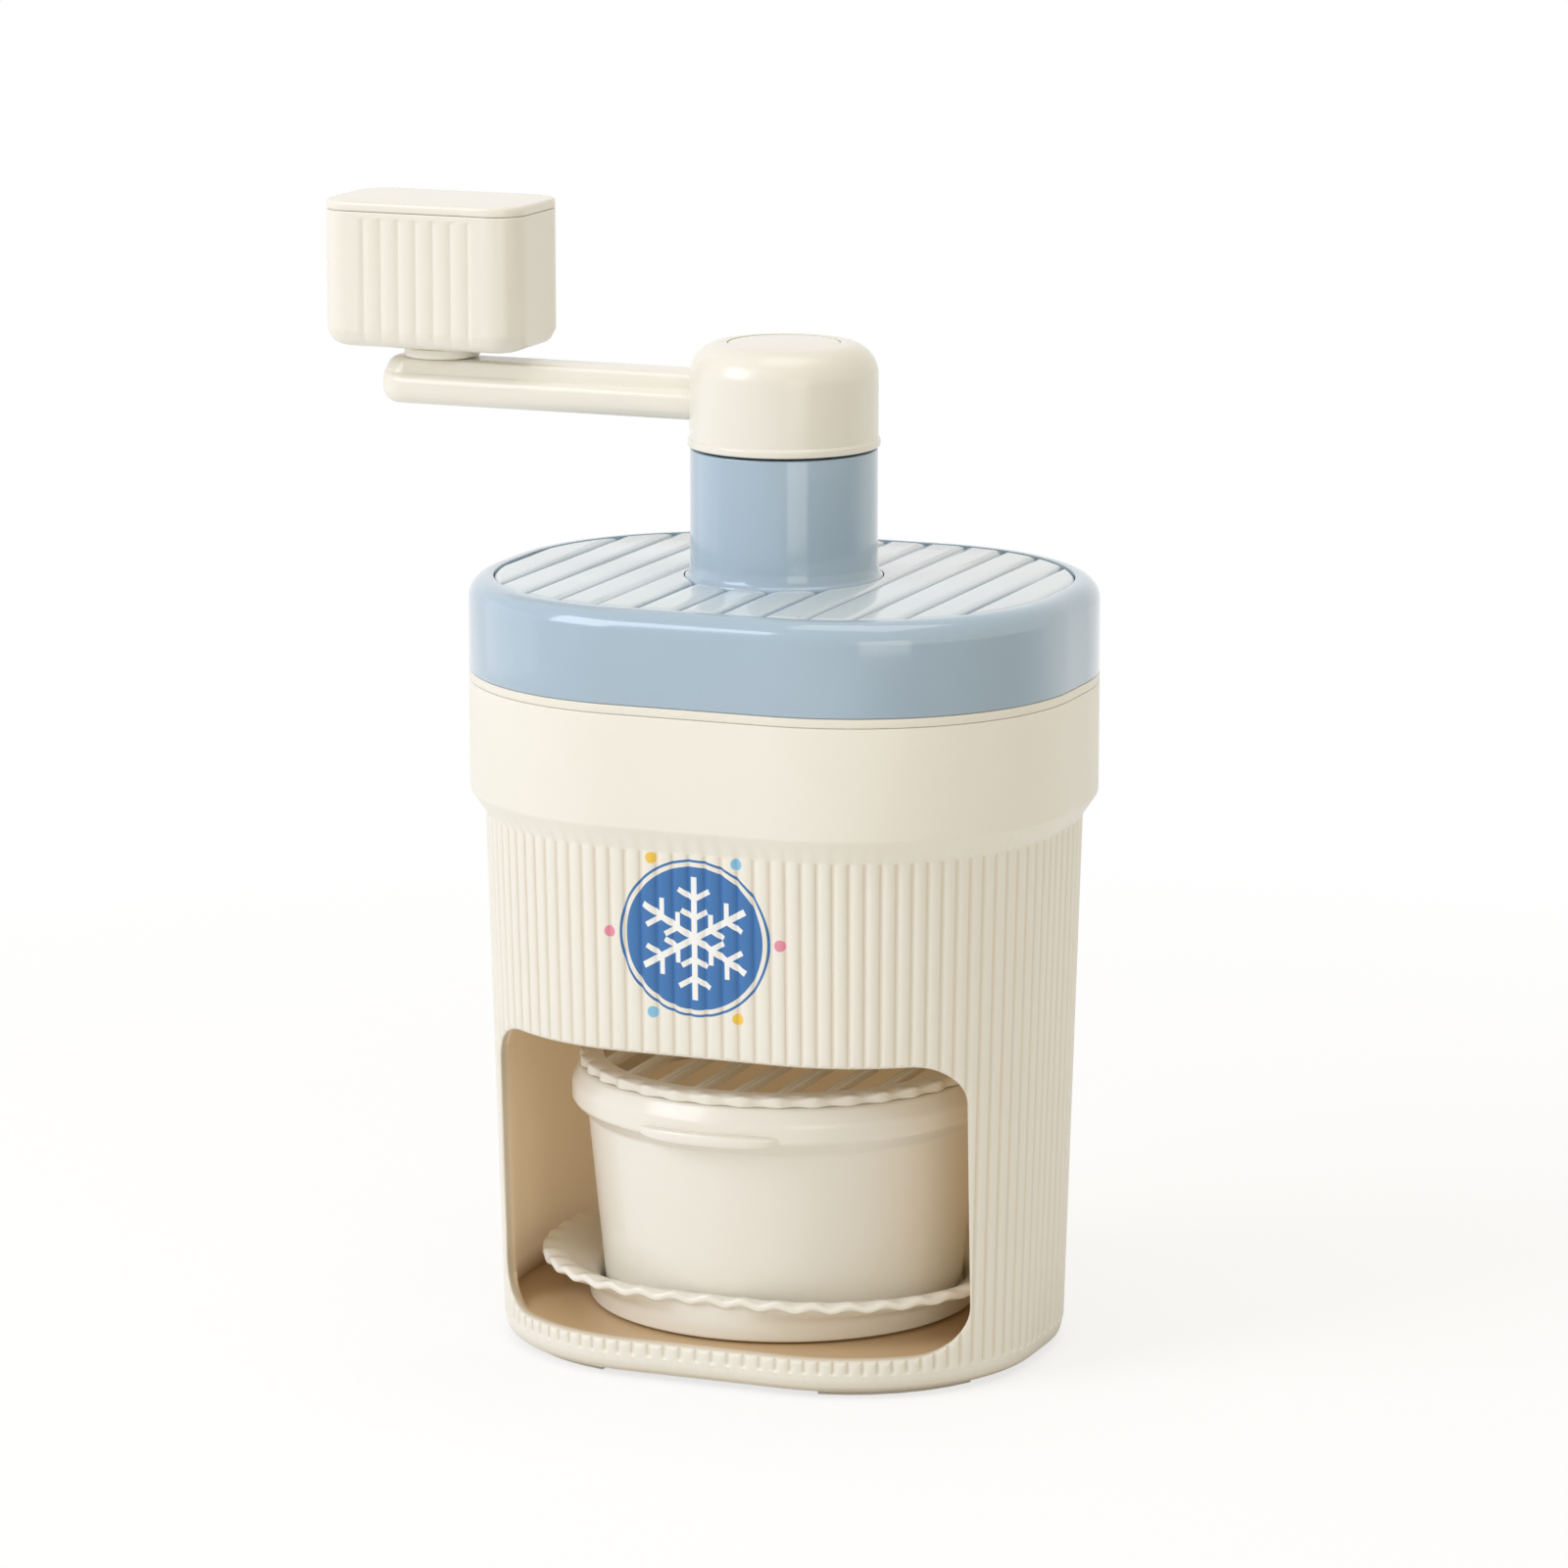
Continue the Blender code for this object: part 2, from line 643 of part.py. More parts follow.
pads = {
    "foot_front_left": (-1, -1),
    "foot_front_right": (1, -1),
    "foot_rear_left": (-1, 1),
    "foot_rear_right": (1, 1),
}
for side_x, side_y in pads.values():
    pocket = prism(pad_outline(side_x, side_y, GAP), -MM, PAD_THICK - PAD_STAND + GAP)
    base_plate = cut(base_plate, pocket)
sink = SCREW_HEAD_HEIGHT + GAP
for x, y in corners:
    counterbore = [(0, -MM), (SCREW_HEAD_RADIUS + GAP, -MM), (SCREW_HEAD_RADIUS + GAP, sink),
                   (SCREW_RADIUS + GAP, sink), (SCREW_RADIUS + GAP, PLATE_THICK + MM), (0, PLATE_THICK + MM)]
    base_plate = cut(base_plate, moved(turned(counterbore, SMALL), at(x, y)))
finish("base_plate", base_plate, CREAM, 0.45)

for name, (side_x, side_y) in pads.items():
    centre = Vector((side_x * (BODY_WIDTH / 2 - BODY_RADIUS), side_y * (BODY_DEPTH / 2 - BODY_RADIUS), 0))
    pad = prism(pad_outline(side_x, side_y, 0), -PAD_STAND, PAD_THICK - PAD_STAND)
    finish(name, moved(pad, Matrix.Translation(-centre)), RUBBER, 0.6, location=centre)

turned_over = Matrix.Rotation(math.pi, 4, "X")
for index, (x, y) in enumerate(corners, start=1):
    screw = pan_screw(SCREW_RADIUS, SCREW_HEAD_RADIUS, SCREW_HEAD_HEIGHT, SCREW_BITE)
    place = (x, y, SCREW_HEAD_HEIGHT)
    finish(f"base_screw_{index}", moved(screw, turned_over), STEEL, 0.3, 1.0, location=place)

# Ice hopper: a round tub hung from a flange that rests on the collar, with the blade's seat in its deck.
tub_plan = plan(BODY_WIDTH, BODY_DEPTH, BODY_RADIUS, LARGE + 8)
tub_outer = TUB_RADIUS + TUB_WALL
plate_top = HOPPER_PLATE_Z + HOPPER_PLATE_THICK
ice_hopper = loft([
    round_ring(tub_plan, tub_outer, TUB_BOTTOM),
    round_ring(tub_plan, tub_outer, HOPPER_PLATE_Z),
    inset_ring(tub_plan, SKIRT_INSET, HOPPER_PLATE_Z),
    inset_ring(tub_plan, SKIRT_INSET, FLANGE_BOTTOM),
    inset_ring(tub_plan, 0, FLANGE_BOTTOM),
    inset_ring(tub_plan, 0, FLANGE_TOP),
    inset_ring(tub_plan, HOPPER_MOUTH_INSET, FLANGE_TOP),
    inset_ring(tub_plan, HOPPER_MOUTH_INSET, plate_top),
    round_ring(tub_plan, TUB_RADIUS, plate_top),
    round_ring(tub_plan, TUB_RADIUS, DECK_TOP),
])
blade_centre = Vector((BLADE_START + BLADE_LENGTH / 2, BLADE_CENTRE_Y, DECK_TOP - BLADE_RISE))
blade_place = Matrix.Translation(blade_centre) @ Matrix.Rotation(-BLADE_TILT, 4, "X")
pocket_height = 4 * MM
blade_pocket = box((BLADE_LENGTH + 2 * GAP, BLADE_WIDTH + 2 * GAP, pocket_height),
                   (0, 0, pocket_height / 2 - BLADE_THICK / 2 - GAP))
edge_y = BLADE_CENTRE_Y - BLADE_WIDTH / 2 * math.cos(BLADE_TILT)
ice_slot = box((BLADE_LENGTH + 2 * GAP, SLOT_WIDTH, 4 * DECK_THICK),
               (blade_centre.x, edge_y - SLOT_WIDTH / 2 + MM, DECK_TOP - DECK_THICK / 2))
ice_hopper = cut(ice_hopper, moved(blade_pocket, blade_place), ice_slot)
blade_holes = [(-BLADE_SCREW_SPAN / 2, BLADE_SCREW_Y), (BLADE_SCREW_SPAN / 2, BLADE_SCREW_Y)]
for x, y in blade_holes:
    pilot = turned(disc_profile(BLADE_SCREW_RADIUS + GAP, -3 * DECK_THICK, DECK_THICK), SMALL)
    ice_hopper = cut(ice_hopper, moved(pilot, blade_place @ at(x, y)))
finish("ice_hopper", ice_hopper, CREAM, 0.3)

# Blade: a ground strip that leans out of its pocket over the slot, held by two screws.
half = BLADE_WIDTH / 2
thick = BLADE_THICK / 2
section = [(-half, -thick), (half, -thick), (half, thick),
           (-half + BLADE_BEVEL, thick), (-half, -thick + BLADE_EDGE)]
blade = prism([(z, y) for y, z in section][::-1], -BLADE_LENGTH / 2, BLADE_LENGTH / 2)
blade.transform(Matrix(((0, 0, 1, 0), (0, 1, 0, 0), (1, 0, 0, 0), (0, 0, 0, 1))))
blade.flip_normals()
for x, y in blade_holes:
    hole = turned(disc_profile(BLADE_SCREW_RADIUS + GAP, -BLADE_THICK, BLADE_THICK), SMALL)
    blade = cut(blade, moved(hole, at(x, y)))
blade_object = finish("blade", blade, STEEL, 0.2, 1.0, location=blade_centre)
blade_object.rotation_euler = (-BLADE_TILT, 0, 0)
for index, (x, y) in enumerate(blade_holes, start=1):
    place = blade_place @ Vector((x, y, thick + GAP))
    screw = pan_screw(BLADE_SCREW_RADIUS, BLADE_SCREW_HEAD, BLADE_SCREW_HEAD_HEIGHT, DECK_THICK)
    piece = finish(f"blade_screw_{index}", screw, STEEL, 0.3, 1.0, location=place)
    piece.rotation_euler = (-BLADE_TILT, 0, 0)

# Lid cover: a shell with a rolled top edge, a sunk deck for the fluted panel, and the tower.
lid_plan = plan(BODY_WIDTH, BODY_DEPTH, BODY_RADIUS, LARGE + 8)
deck_underside = LID_DECK - LID_DECK_THICK
lid_rings = [
    inset_ring(lid_plan, LID_WALL, deck_underside),
    inset_ring(lid_plan, LID_WALL, LID_BOTTOM),
    inset_ring(lid_plan, 0, LID_BOTTOM),
]
for inset, z in [(LID_ROUND - r, h) for r, h in arc_profile(0, LID_TOP - LID_ROUND, LID_ROUND, 0, 90, 3)]:
    lid_rings.append(inset_ring(lid_plan, inset, z))
lid_rings.append(inset_ring(lid_plan, PANEL_BORDER - PANEL_GROOVE, LID_TOP))
lid_rings.append(inset_ring(lid_plan, PANEL_BORDER - PANEL_GROOVE, LID_DECK))
lid_cover = loft(lid_rings)
tower_bottom = deck_underside + 0.5 * LID_DECK_THICK
foot_brim = LID_DECK + 0.6 * LID_DECK_DROP
tower_profile = [(0, tower_bottom), (TOWER_RADIUS + TOWER_FOOT, tower_bottom),
                 (TOWER_RADIUS + TOWER_FOOT, foot_brim),
                 (TOWER_RADIUS + 0.3 * TOWER_FOOT, foot_brim + 0.5 * TOWER_FOOT),
                 (TOWER_RADIUS, foot_brim + 1.6 * TOWER_FOOT),
                 (TOWER_RADIUS, TOWER_TOP), (0, TOWER_TOP)]
lid_cover = join(lid_cover, turned(tower_profile, LARGE))
bore = [(0, deck_underside - MM), (TOWER_RADIUS - TOWER_WALL, deck_underside - MM),
        (TOWER_RADIUS - TOWER_WALL, TOWER_TOP - TOWER_ROOF), (BUSH_RADIUS + GAP, TOWER_TOP - TOWER_ROOF),
        (BUSH_RADIUS + GAP, TOWER_TOP + MM), (0, TOWER_TOP + MM)]
lid_cover = cut(lid_cover, turned(bore, LARGE))
liner_places = []
for k in range(3):
    turn = math.radians(90 + 120 * k)
    liner_places.append((LINER_SCREW_RING * math.cos(turn), LINER_SCREW_RING * math.sin(turn)))
for x, y in liner_places:
    hole_top = LINER_TOP + SCREW_BITE + MM
    boss = turned(boss_profile(LINER_TOP + GAP, LID_DECK - 0.4 * LID_DECK_THICK, hole_top), SMALL)
    lid_cover = join(lid_cover, moved(boss, at(x, y)))
finish("lid_cover", lid_cover, BLUE, 0.14)

# Fluted panel: sections across X, each as wide as the border allows there, with round ridges along Y.
panel_width = BODY_WIDTH - 2 * PANEL_BORDER
panel_depth = BODY_DEPTH - 2 * PANEL_BORDER
panel_radius = BODY_RADIUS - PANEL_BORDER
panel_bottom = LID_DECK + GAP
panel_top = LID_TOP + PANEL_RISE


def panel_reach(x):
    """Half the panel's length along Y at a place across it."""
    past = max(0.0, abs(x) - (panel_width / 2 - panel_radius))
    return panel_depth / 2 - panel_radius + math.sqrt(max(0.0, panel_radius ** 2 - past ** 2))


panel_sections = []
panel_steps = FLUTE_COUNT * 3
for k in range(panel_steps + 1):
    x = panel_width * (k / panel_steps - 0.5)
    crown = (0, 1, 1)[k % 3]
    z = panel_top - FLUTE_DEPTH * (1 - crown)
    reach = panel_reach(x)
    slope = min(PANEL_SLOPE * crown, 0.4 * reach)
    brim = panel_top - FLUTE_DEPTH
    panel_sections.append([Vector(p) for p in (
        (x, -reach, panel_bottom), (x, reach, panel_bottom), (x, reach, brim),
        (x, reach - slope - 0.2 * MM, z), (x, -reach + slope + 0.2 * MM, z), (x, -reach, brim))])
lid_panel = loft(panel_sections)
panel_hole = turned(disc_profile(TOWER_RADIUS + TOWER_FOOT + GAP, panel_bottom - MM, panel_top + MM), LARGE)
lid_panel = cut(lid_panel, panel_hole)
finish("lid_panel", lid_panel, PALE_BLUE, 0.18)

# Liner: closes the lid from below, guides it in the hopper's mouth and holds the lower bush.
liner_hub = BUSH_RADIUS + GAP + LINER_HUB_WALL
skirt_outer = HOPPER_MOUTH_INSET + GAP
skirt_inner = skirt_outer + LINER_SKIRT_WALL
skirt_foot = FLANGE_TOP - LINER_SKIRT_DEPTH
lid_liner = loft([
    inset_ring(small_plan, skirt_inner, LINER_BOTTOM),
    inset_ring(small_plan, skirt_inner, skirt_foot),
    inset_ring(small_plan, skirt_outer, skirt_foot),
    inset_ring(small_plan, skirt_outer, LINER_BOTTOM),
    inset_ring(small_plan, LID_WALL + GAP, LINER_BOTTOM),
    inset_ring(small_plan, LID_WALL + GAP, LINER_TOP),
])
plate_hole = turned(disc_profile(liner_hub - LINER_HUB_WALL / 2, LINER_BOTTOM - MM, LINER_TOP + MM), MIDDLE)
lid_liner = cut(lid_liner, plate_hole)
for x, y in liner_places:
    hole = turned(disc_profile(SCREW_RADIUS + GAP, LINER_BOTTOM - MM, LINER_TOP + MM), SMALL)
    lid_liner = cut(lid_liner, moved(hole, at(x, y)))
hub = turned(washer_profile(BUSH_RADIUS + GAP, liner_hub, LINER_BOTTOM - LINER_HUB_DROP,
                            LINER_TOP + LINER_HUB_RISE), MIDDLE)
lid_liner = join(lid_liner, hub)
finish("lid_liner", lid_liner, CREAM, 0.4)
for index, (x, y) in enumerate(liner_places, start=1):
    screw = pan_screw(SCREW_RADIUS, SCREW_HEAD_RADIUS, SCREW_HEAD_HEIGHT, LINER_THICK + SCREW_BITE)
    place = (x, y, LINER_BOTTOM - GAP)
    finish(f"liner_screw_{index}", moved(screw, turned_over), STEEL, 0.3, 1.0, location=place)

seal_outer = LID_WALL + GAP
seal_inner = seal_outer + SEAL_WIDTH
seal_top = SEAL_BOTTOM + SEAL_HEIGHT
seal_corners = [(seal_inner, SEAL_BOTTOM), (seal_outer, SEAL_BOTTOM),
                (seal_outer, seal_top), (seal_inner, seal_top)]
seal_sections = []
for place, normal in small_plan:
    seal_sections.append([Vector((*(place - normal * inset), z)) for inset, z in seal_corners])
seal_form = bmesh.new()
seal_loops = [[seal_form.verts.new(p) for p in ring] for ring in seal_sections]
for here, there in zip(seal_loops, seal_loops[1:] + seal_loops[:1]):
    for k in range(4):
        seal_form.faces.new((here[k], there[k], there[(k + 1) % 4], here[(k + 1) % 4]))
finish("lid_seal", to_mesh(seal_form), RUBBER, 0.6)

# Bushes: flanged sleeves, the upper one down into the tower's roof and the lower one up into the liner.
bush_profile = [(BUSH_BORE, -BUSH_LENGTH), (BUSH_RADIUS, -BUSH_LENGTH), (BUSH_RADIUS, 0),
                (BUSH_RADIUS + BUSH_FLANGE, 0), (BUSH_RADIUS + BUSH_FLANGE, BUSH_FLANGE_THICK),
                (BUSH_BORE, BUSH_FLANGE_THICK)]
finish("bush_upper", turned(bush_profile, MIDDLE), BEARING, 0.4, location=(0, 0, TOWER_TOP + GAP))
lower_bush = moved(turned(bush_profile, MIDDLE), turned_over)
finish("bush_lower", lower_bush, BEARING, 0.4, location=(0, 0, LOWER_BUSH_BOTTOM + BUSH_FLANGE_THICK))

# Drive shaft: round in the bushes, square in the crank and square again where the presser slides.
square_top = HUB_BOTTOM
shaft = turned(disc_profile(SHAFT_RADIUS, PRESSER_SQUARE_TOP, square_top), MIDDLE)
lower_square = box((PRESSER_SQUARE, PRESSER_SQUARE, PRESSER_SQUARE_TOP + MM - SHAFT_BOTTOM),
                   (0, 0, (PRESSER_SQUARE_TOP + MM + SHAFT_BOTTOM) / 2))
upper_square = box((SHAFT_SQUARE, SHAFT_SQUARE, SHAFT_TOP - square_top + MM),
                   (0, 0, (SHAFT_TOP + square_top - MM) / 2))
shaft = join(shaft, lower_square, upper_square)
top_thread = turned(disc_profile(SHAFT_SCREW_RADIUS + GAP, SHAFT_TOP - SHAFT_SCREW_LENGTH,
                                 SHAFT_TOP + MM), SMALL)
foot_thread = turned(disc_profile(PRESSER_SCREW_RADIUS + GAP, SHAFT_BOTTOM - MM,
                                  SHAFT_BOTTOM + PRESSER_SCREW_LENGTH), SMALL)
shaft = cut(shaft, top_thread, foot_thread)
finish("drive_shaft", shaft, STEEL, 0.28, 1.0, parent=crank_axis)

# Crank: a hollow cap with a hub for the shaft's square, and an arm with rounded edges and a step along it.
cap_inside = CAP_RADIUS - CAP_WALL
cap_ceiling = CAP_TOP - CAP_ROOF
lip_top = CAP_BOTTOM + CAP_LIP_HEIGHT
cap_profile = [(0, HUB_BOTTOM), (HUB_RADIUS, HUB_BOTTOM), (HUB_RADIUS, cap_ceiling),
               (cap_inside - 1.5 * MM, cap_ceiling), (cap_inside, cap_ceiling - 1.5 * MM),
               (cap_inside, CAP_BOTTOM), (CAP_RADIUS + CAP_LIP, CAP_BOTTOM),
               (CAP_RADIUS + CAP_LIP, lip_top), (CAP_RADIUS, lip_top + CAP_LIP)]
cap_profile += arc_profile(CAP_RADIUS - CAP_ROUND, CAP_TOP - CAP_ROUND, CAP_ROUND, 0, 90, 4)
cap_profile.append((0, CAP_TOP))
crank = turned(cap_profile, LARGE)
arm_start = CAP_RADIUS - CAP_WALL * 0.7
arm_end = -GRIP_X + ARM_OVERHANG


def arm_ring(inset, z, steps=8):
    """The arm's plan at a height: straight sides from inside the cap's wall to a round end."""
    reach = arm_end - inset
    width = ARM_HALF_WIDTH - inset
    ring = [Vector((-arm_start, -width, z)), Vector((-arm_start, 0, z)), Vector((-arm_start, width, z))]
    for k in range(steps + 1):
        turn = math.radians(90 + 180 * k / steps)
        ring.append(Vector((-arm_end + ARM_HALF_WIDTH + width * math.cos(turn), width * math.sin(turn), z)))
    return ring


arm_rounds = [(1.5 * MM, 0), (0.4 * MM, 0.7 * MM), (0, 1.9 * MM), (0, ARM_STEP_HEIGHT),
              (ARM_STEP, ARM_STEP_HEIGHT + 0.7 * MM), (ARM_STEP, ARM_HEIGHT - 1.6 * MM),
              (ARM_STEP + 0.5 * MM, ARM_HEIGHT - 0.5 * MM), (ARM_STEP + 1.6 * MM, ARM_HEIGHT)]
arm = loft([arm_ring(inset, ARM_BOTTOM + height) for inset, height in arm_rounds])
crank = join(crank, arm)
socket = box((SHAFT_SQUARE + 2 * GAP, SHAFT_SQUARE + 2 * GAP, SHAFT_TOP + GAP - HUB_BOTTOM + MM),
             (0, 0, (SHAFT_TOP + GAP + HUB_BOTTOM - MM) / 2))
disc_seat = CAP_TOP - DISC_THICK - GAP
head_floor = disc_seat - HEAD_POCKET_DEPTH
plug_cut = [(0, SHAFT_TOP - MM), (SHAFT_SCREW_RADIUS + GAP, SHAFT_TOP - MM),
            (SHAFT_SCREW_RADIUS + GAP, head_floor),
            (SHAFT_WASHER_RADIUS + GAP, head_floor), (SHAFT_WASHER_RADIUS + GAP, disc_seat),
            (DISC_RADIUS + GAP, disc_seat), (DISC_RADIUS + GAP, CAP_TOP + MM), (0, CAP_TOP + MM)]
pin_seat = ARM_BOTTOM + PIN_HEAD_SINK + PIN_HEAD_HEIGHT + GAP
pin_cut = [(0, ARM_BOTTOM - MM), (PIN_HEAD_RADIUS + GAP, ARM_BOTTOM - MM), (PIN_HEAD_RADIUS + GAP, pin_seat),
           (PIN_RADIUS + GAP, pin_seat), (PIN_RADIUS + GAP, ARM_TOP + MM), (0, ARM_TOP + MM)]
crank = cut(crank, socket, turned(plug_cut, MIDDLE), moved(turned(pin_cut, MIDDLE), at(GRIP_X, 0)))
finish("crank", crank, CREAM, 0.3, parent=crank_axis)

finish("crank_disc", turned(disc_profile(DISC_RADIUS, -DISC_THICK, 0, 0.3 * MM), MIDDLE), CREAM, 0.3,
       location=(0, 0, CAP_TOP), parent=crank_axis)
washer = turned(washer_profile(SHAFT_SCREW_RADIUS + GAP, SHAFT_WASHER_RADIUS, 0, SHAFT_WASHER_THICK), SMALL)
finish("shaft_washer", washer, STEEL, 0.3, 1.0, location=(0, 0, head_floor + GAP), parent=crank_axis)
screw = pan_screw(SHAFT_SCREW_RADIUS, SHAFT_SCREW_HEAD, SHAFT_SCREW_HEAD_HEIGHT, SHAFT_SCREW_LENGTH)
screw_seat = head_floor + 2 * GAP + SHAFT_WASHER_THICK
finish("shaft_screw", screw, STEEL, 0.3, 1.0, location=(0, 0, screw_seat), parent=crank_axis)

# Grip: a block with shallow flutes on its two broad faces, turning on a headed pin through the arm.
def grip_plan():
    """Points and normals of the grip's outline, with three points to each flute on the broad faces."""
    points = []
    half_flat = GRIP_WIDTH / 2 - GRIP_RADIUS
    fluted = GRIP_FLUTES * GRIP_FLUTE_PITCH
    for side in (-1, 1):
        normal = Vector((0, side))
        for k in range(3 * GRIP_FLUTES + 1):
            x = -side * fluted * (k / (3 * GRIP_FLUTES) - 0.5)
            points.append((Vector((x, side * GRIP_DEPTH / 2)), normal, (0, 1, 1)[k % 3]))
        for k in range(5):
            turn = math.radians(90 * side + 22.5 * k)
            ray = Vector((math.cos(turn), math.sin(turn)))
            centre = Vector((-side * half_flat, side * (GRIP_DEPTH / 2 - GRIP_RADIUS)))
            points.append((centre + ray * GRIP_RADIUS, ray, 0))
        for k in range(5):
            turn = math.radians(90 * side + 90 + 22.5 * k)
            ray = Vector((math.cos(turn), math.sin(turn)))
            centre = Vector((-side * half_flat, -side * (GRIP_DEPTH / 2 - GRIP_RADIUS)))
            points.append((centre + ray * GRIP_RADIUS, ray, 0))
    return points


cover_plan = plan(GRIP_WIDTH, GRIP_DEPTH, GRIP_RADIUS, MIDDLE)
grip_points = grip_plan()
grip_outline = [(place, normal) for place, normal, _ in grip_points]


def grip_ring(inset, z, flute=0.0):
    """The grip's outline at a height, drawn in evenly and by the flutes."""
    return inset_ring(grip_outline, [inset + flute * share for _, _, share in grip_points], z)


grip_shell = loft([
    grip_ring(GRIP_FOOT_ROUND, 0),
    grip_ring(0.4 * GRIP_FOOT_ROUND, 0.22 * GRIP_FOOT_ROUND),
    grip_ring(0, GRIP_FOOT_ROUND),
    grip_ring(0, GRIP_FOOT_ROUND + 0.6 * MM, GRIP_FLUTE_DEPTH),
    grip_ring(0, GRIP_HEIGHT - 1.6 * MM, GRIP_FLUTE_DEPTH),
    grip_ring(0, GRIP_HEIGHT - 0.8 * MM),
    grip_ring(0, GRIP_HEIGHT),
])
cavity = loft([
    inset_ring(cover_plan, GRIP_WALL + 1.4 * MM, GRIP_FLOOR),
    inset_ring(cover_plan, GRIP_WALL, GRIP_FLOOR + 2 * MM),
    inset_ring(cover_plan, GRIP_WALL, GRIP_HEIGHT + MM),
])
grip_shell = cut(grip_shell, cavity)
hub_outer = PIN_RADIUS + GAP + GRIP_HUB_WALL
grip_hub = turned(disc_profile(hub_outer, 0.5 * GRIP_FLOOR, GRIP_HUB_HEIGHT), MIDDLE)
grip_shell = join(grip_shell, grip_hub)
grip_shell = cut(grip_shell, turned(disc_profile(PIN_RADIUS + GAP, -MM, GRIP_HUB_HEIGHT + MM), MIDDLE))
finish("grip_shell", grip_shell, CREAM, 0.3, location=(0, 0, GRIP_BOTTOM), parent=grip_axis)

plug_outer = GRIP_WALL + GAP
grip_cover = loft([
    inset_ring(cover_plan, plug_outer + GRIP_WALL, 0),
    inset_ring(cover_plan, plug_outer + GRIP_WALL, -GRIP_COVER_PLUG),
    inset_ring(cover_plan, plug_outer, -GRIP_COVER_PLUG),
    inset_ring(cover_plan, plug_outer, 0),
    inset_ring(cover_plan, 0, 0),
    inset_ring(cover_plan, 0, 0.35 * GRIP_COVER_THICK),
    inset_ring(cover_plan, 0.25 * GRIP_COVER_THICK, 0.75 * GRIP_COVER_THICK),
    inset_ring(cover_plan, 1.1 * GRIP_COVER_THICK, GRIP_COVER_THICK),
])
finish("grip_cover", grip_cover, CREAM, 0.3, location=(0, 0, GRIP_TOP + GAP), parent=grip_axis)

collar = turned(washer_profile(PIN_RADIUS + GAP, COLLAR_RADIUS, 0, COLLAR_THICK), MIDDLE)
finish("grip_collar", collar, CREAM, 0.35, location=(0, 0, COLLAR_BOTTOM), parent=grip_axis)

clip_bottom = GRIP_BOTTOM + GRIP_HUB_HEIGHT + GAP
neck_bottom = clip_bottom - 0.5 * GAP
neck_top = clip_bottom + CLIP_THICK + GAP
pin_profile = [(0, 0), (PIN_HEAD_RADIUS - 0.5 * MM, 0), (PIN_HEAD_RADIUS, 0.5 * MM),
               (PIN_HEAD_RADIUS, PIN_HEAD_HEIGHT), (PIN_RADIUS, PIN_HEAD_HEIGHT)]
pin_foot = ARM_BOTTOM + PIN_HEAD_SINK
pin_profile += [(PIN_RADIUS, neck_bottom - pin_foot), (PIN_RADIUS - PIN_NECK, neck_bottom - pin_foot),
                (PIN_RADIUS - PIN_NECK, neck_top - pin_foot), (PIN_RADIUS, neck_top - pin_foot),
                (PIN_RADIUS, neck_top + PIN_TIP - pin_foot), (0, neck_top + PIN_TIP - pin_foot)]
pin = turned(pin_profile, SMALL)
finish("grip_pin", pin, STEEL, 0.28, 1.0, location=(GRIP_X, 0, pin_foot), parent=crank_axis)

clip_bore = PIN_RADIUS - PIN_NECK + GAP
clip = turned(washer_profile(clip_bore, CLIP_RADIUS, 0, CLIP_THICK), SMALL)
clip = cut(clip, box((2 * clip_bore - 0.4 * MM, 2 * CLIP_RADIUS, 4 * CLIP_THICK), (0, -CLIP_RADIUS, 0)))
finish("grip_clip", clip, STEEL, 0.3, 1.0, location=(GRIP_X, 0, clip_bottom), parent=crank_axis)

# Presser: a plate with a square hub, ribs above and leaning spikes below.
hub_top = PRESSER_TOP + PRESSER_HUB_RISE
presser = turned([(0, PRESSER_FOOT), (PRESSER_HUB_RADIUS, PRESSER_FOOT), (PRESSER_HUB_RADIUS, PRESSER_BOTTOM),
                  (PRESSER_RADIUS - 0.8 * MM, PRESSER_BOTTOM), (PRESSER_RADIUS, PRESSER_BOTTOM + 0.8 * MM),
                  (PRESSER_RADIUS, PRESSER_TOP), (PRESSER_HUB_RADIUS, PRESSER_TOP),
                  (PRESSER_HUB_RADIUS, hub_top), (0, hub_top)], LARGE)
rib_span = PRESSER_RADIUS - 2 * MM - 0.7 * PRESSER_HUB_RADIUS
for k in range(PRESSER_RIBS):
    rib_middle = PRESSER_TOP + (PRESSER_RIB_HEIGHT - 0.5 * PRESSER_THICK) / 2
    rib = box((rib_span, PRESSER_RIB_WIDTH, PRESSER_RIB_HEIGHT + 0.5 * PRESSER_THICK),
              (0.7 * PRESSER_HUB_RADIUS + rib_span / 2, 0, rib_middle))
    presser = join(presser, moved(rib, Matrix.Rotation(2 * math.pi * k / PRESSER_RIBS, 4, "Z")))
ring_step = (PRESSER_RADIUS - SPIKE_EDGE - SPIKE_RING_START) / (len(SPIKE_RINGS) - 1)
for ring, (spikes, first) in enumerate(SPIKE_RINGS):
    ring_radius = SPIKE_RING_START + ring_step * ring
    for k in range(spikes):
        foot = SPIKE_SIZE / 2
        tip = 0.12 * SPIKE_SIZE
        top = PRESSER_BOTTOM + 0.4 * PRESSER_THICK
        low = PRESSER_BOTTOM - SPIKE_LENGTH
        lean = SPIKE_LEAN
        spike = loft([
            [Vector((sx * tip, sy * tip - lean, low)) for sx, sy in ((-1, -1), (1, -1), (1, 1), (-1, 1))],
            [Vector((sx * foot, sy * foot, top)) for sx, sy in ((-1, -1), (1, -1), (1, 1), (-1, 1))],
        ])
        turn = Matrix.Rotation(math.radians(first + 360 * k / spikes), 4, "Z")
        presser = join(presser, moved(spike, turn @ at(ring_radius, 0)))
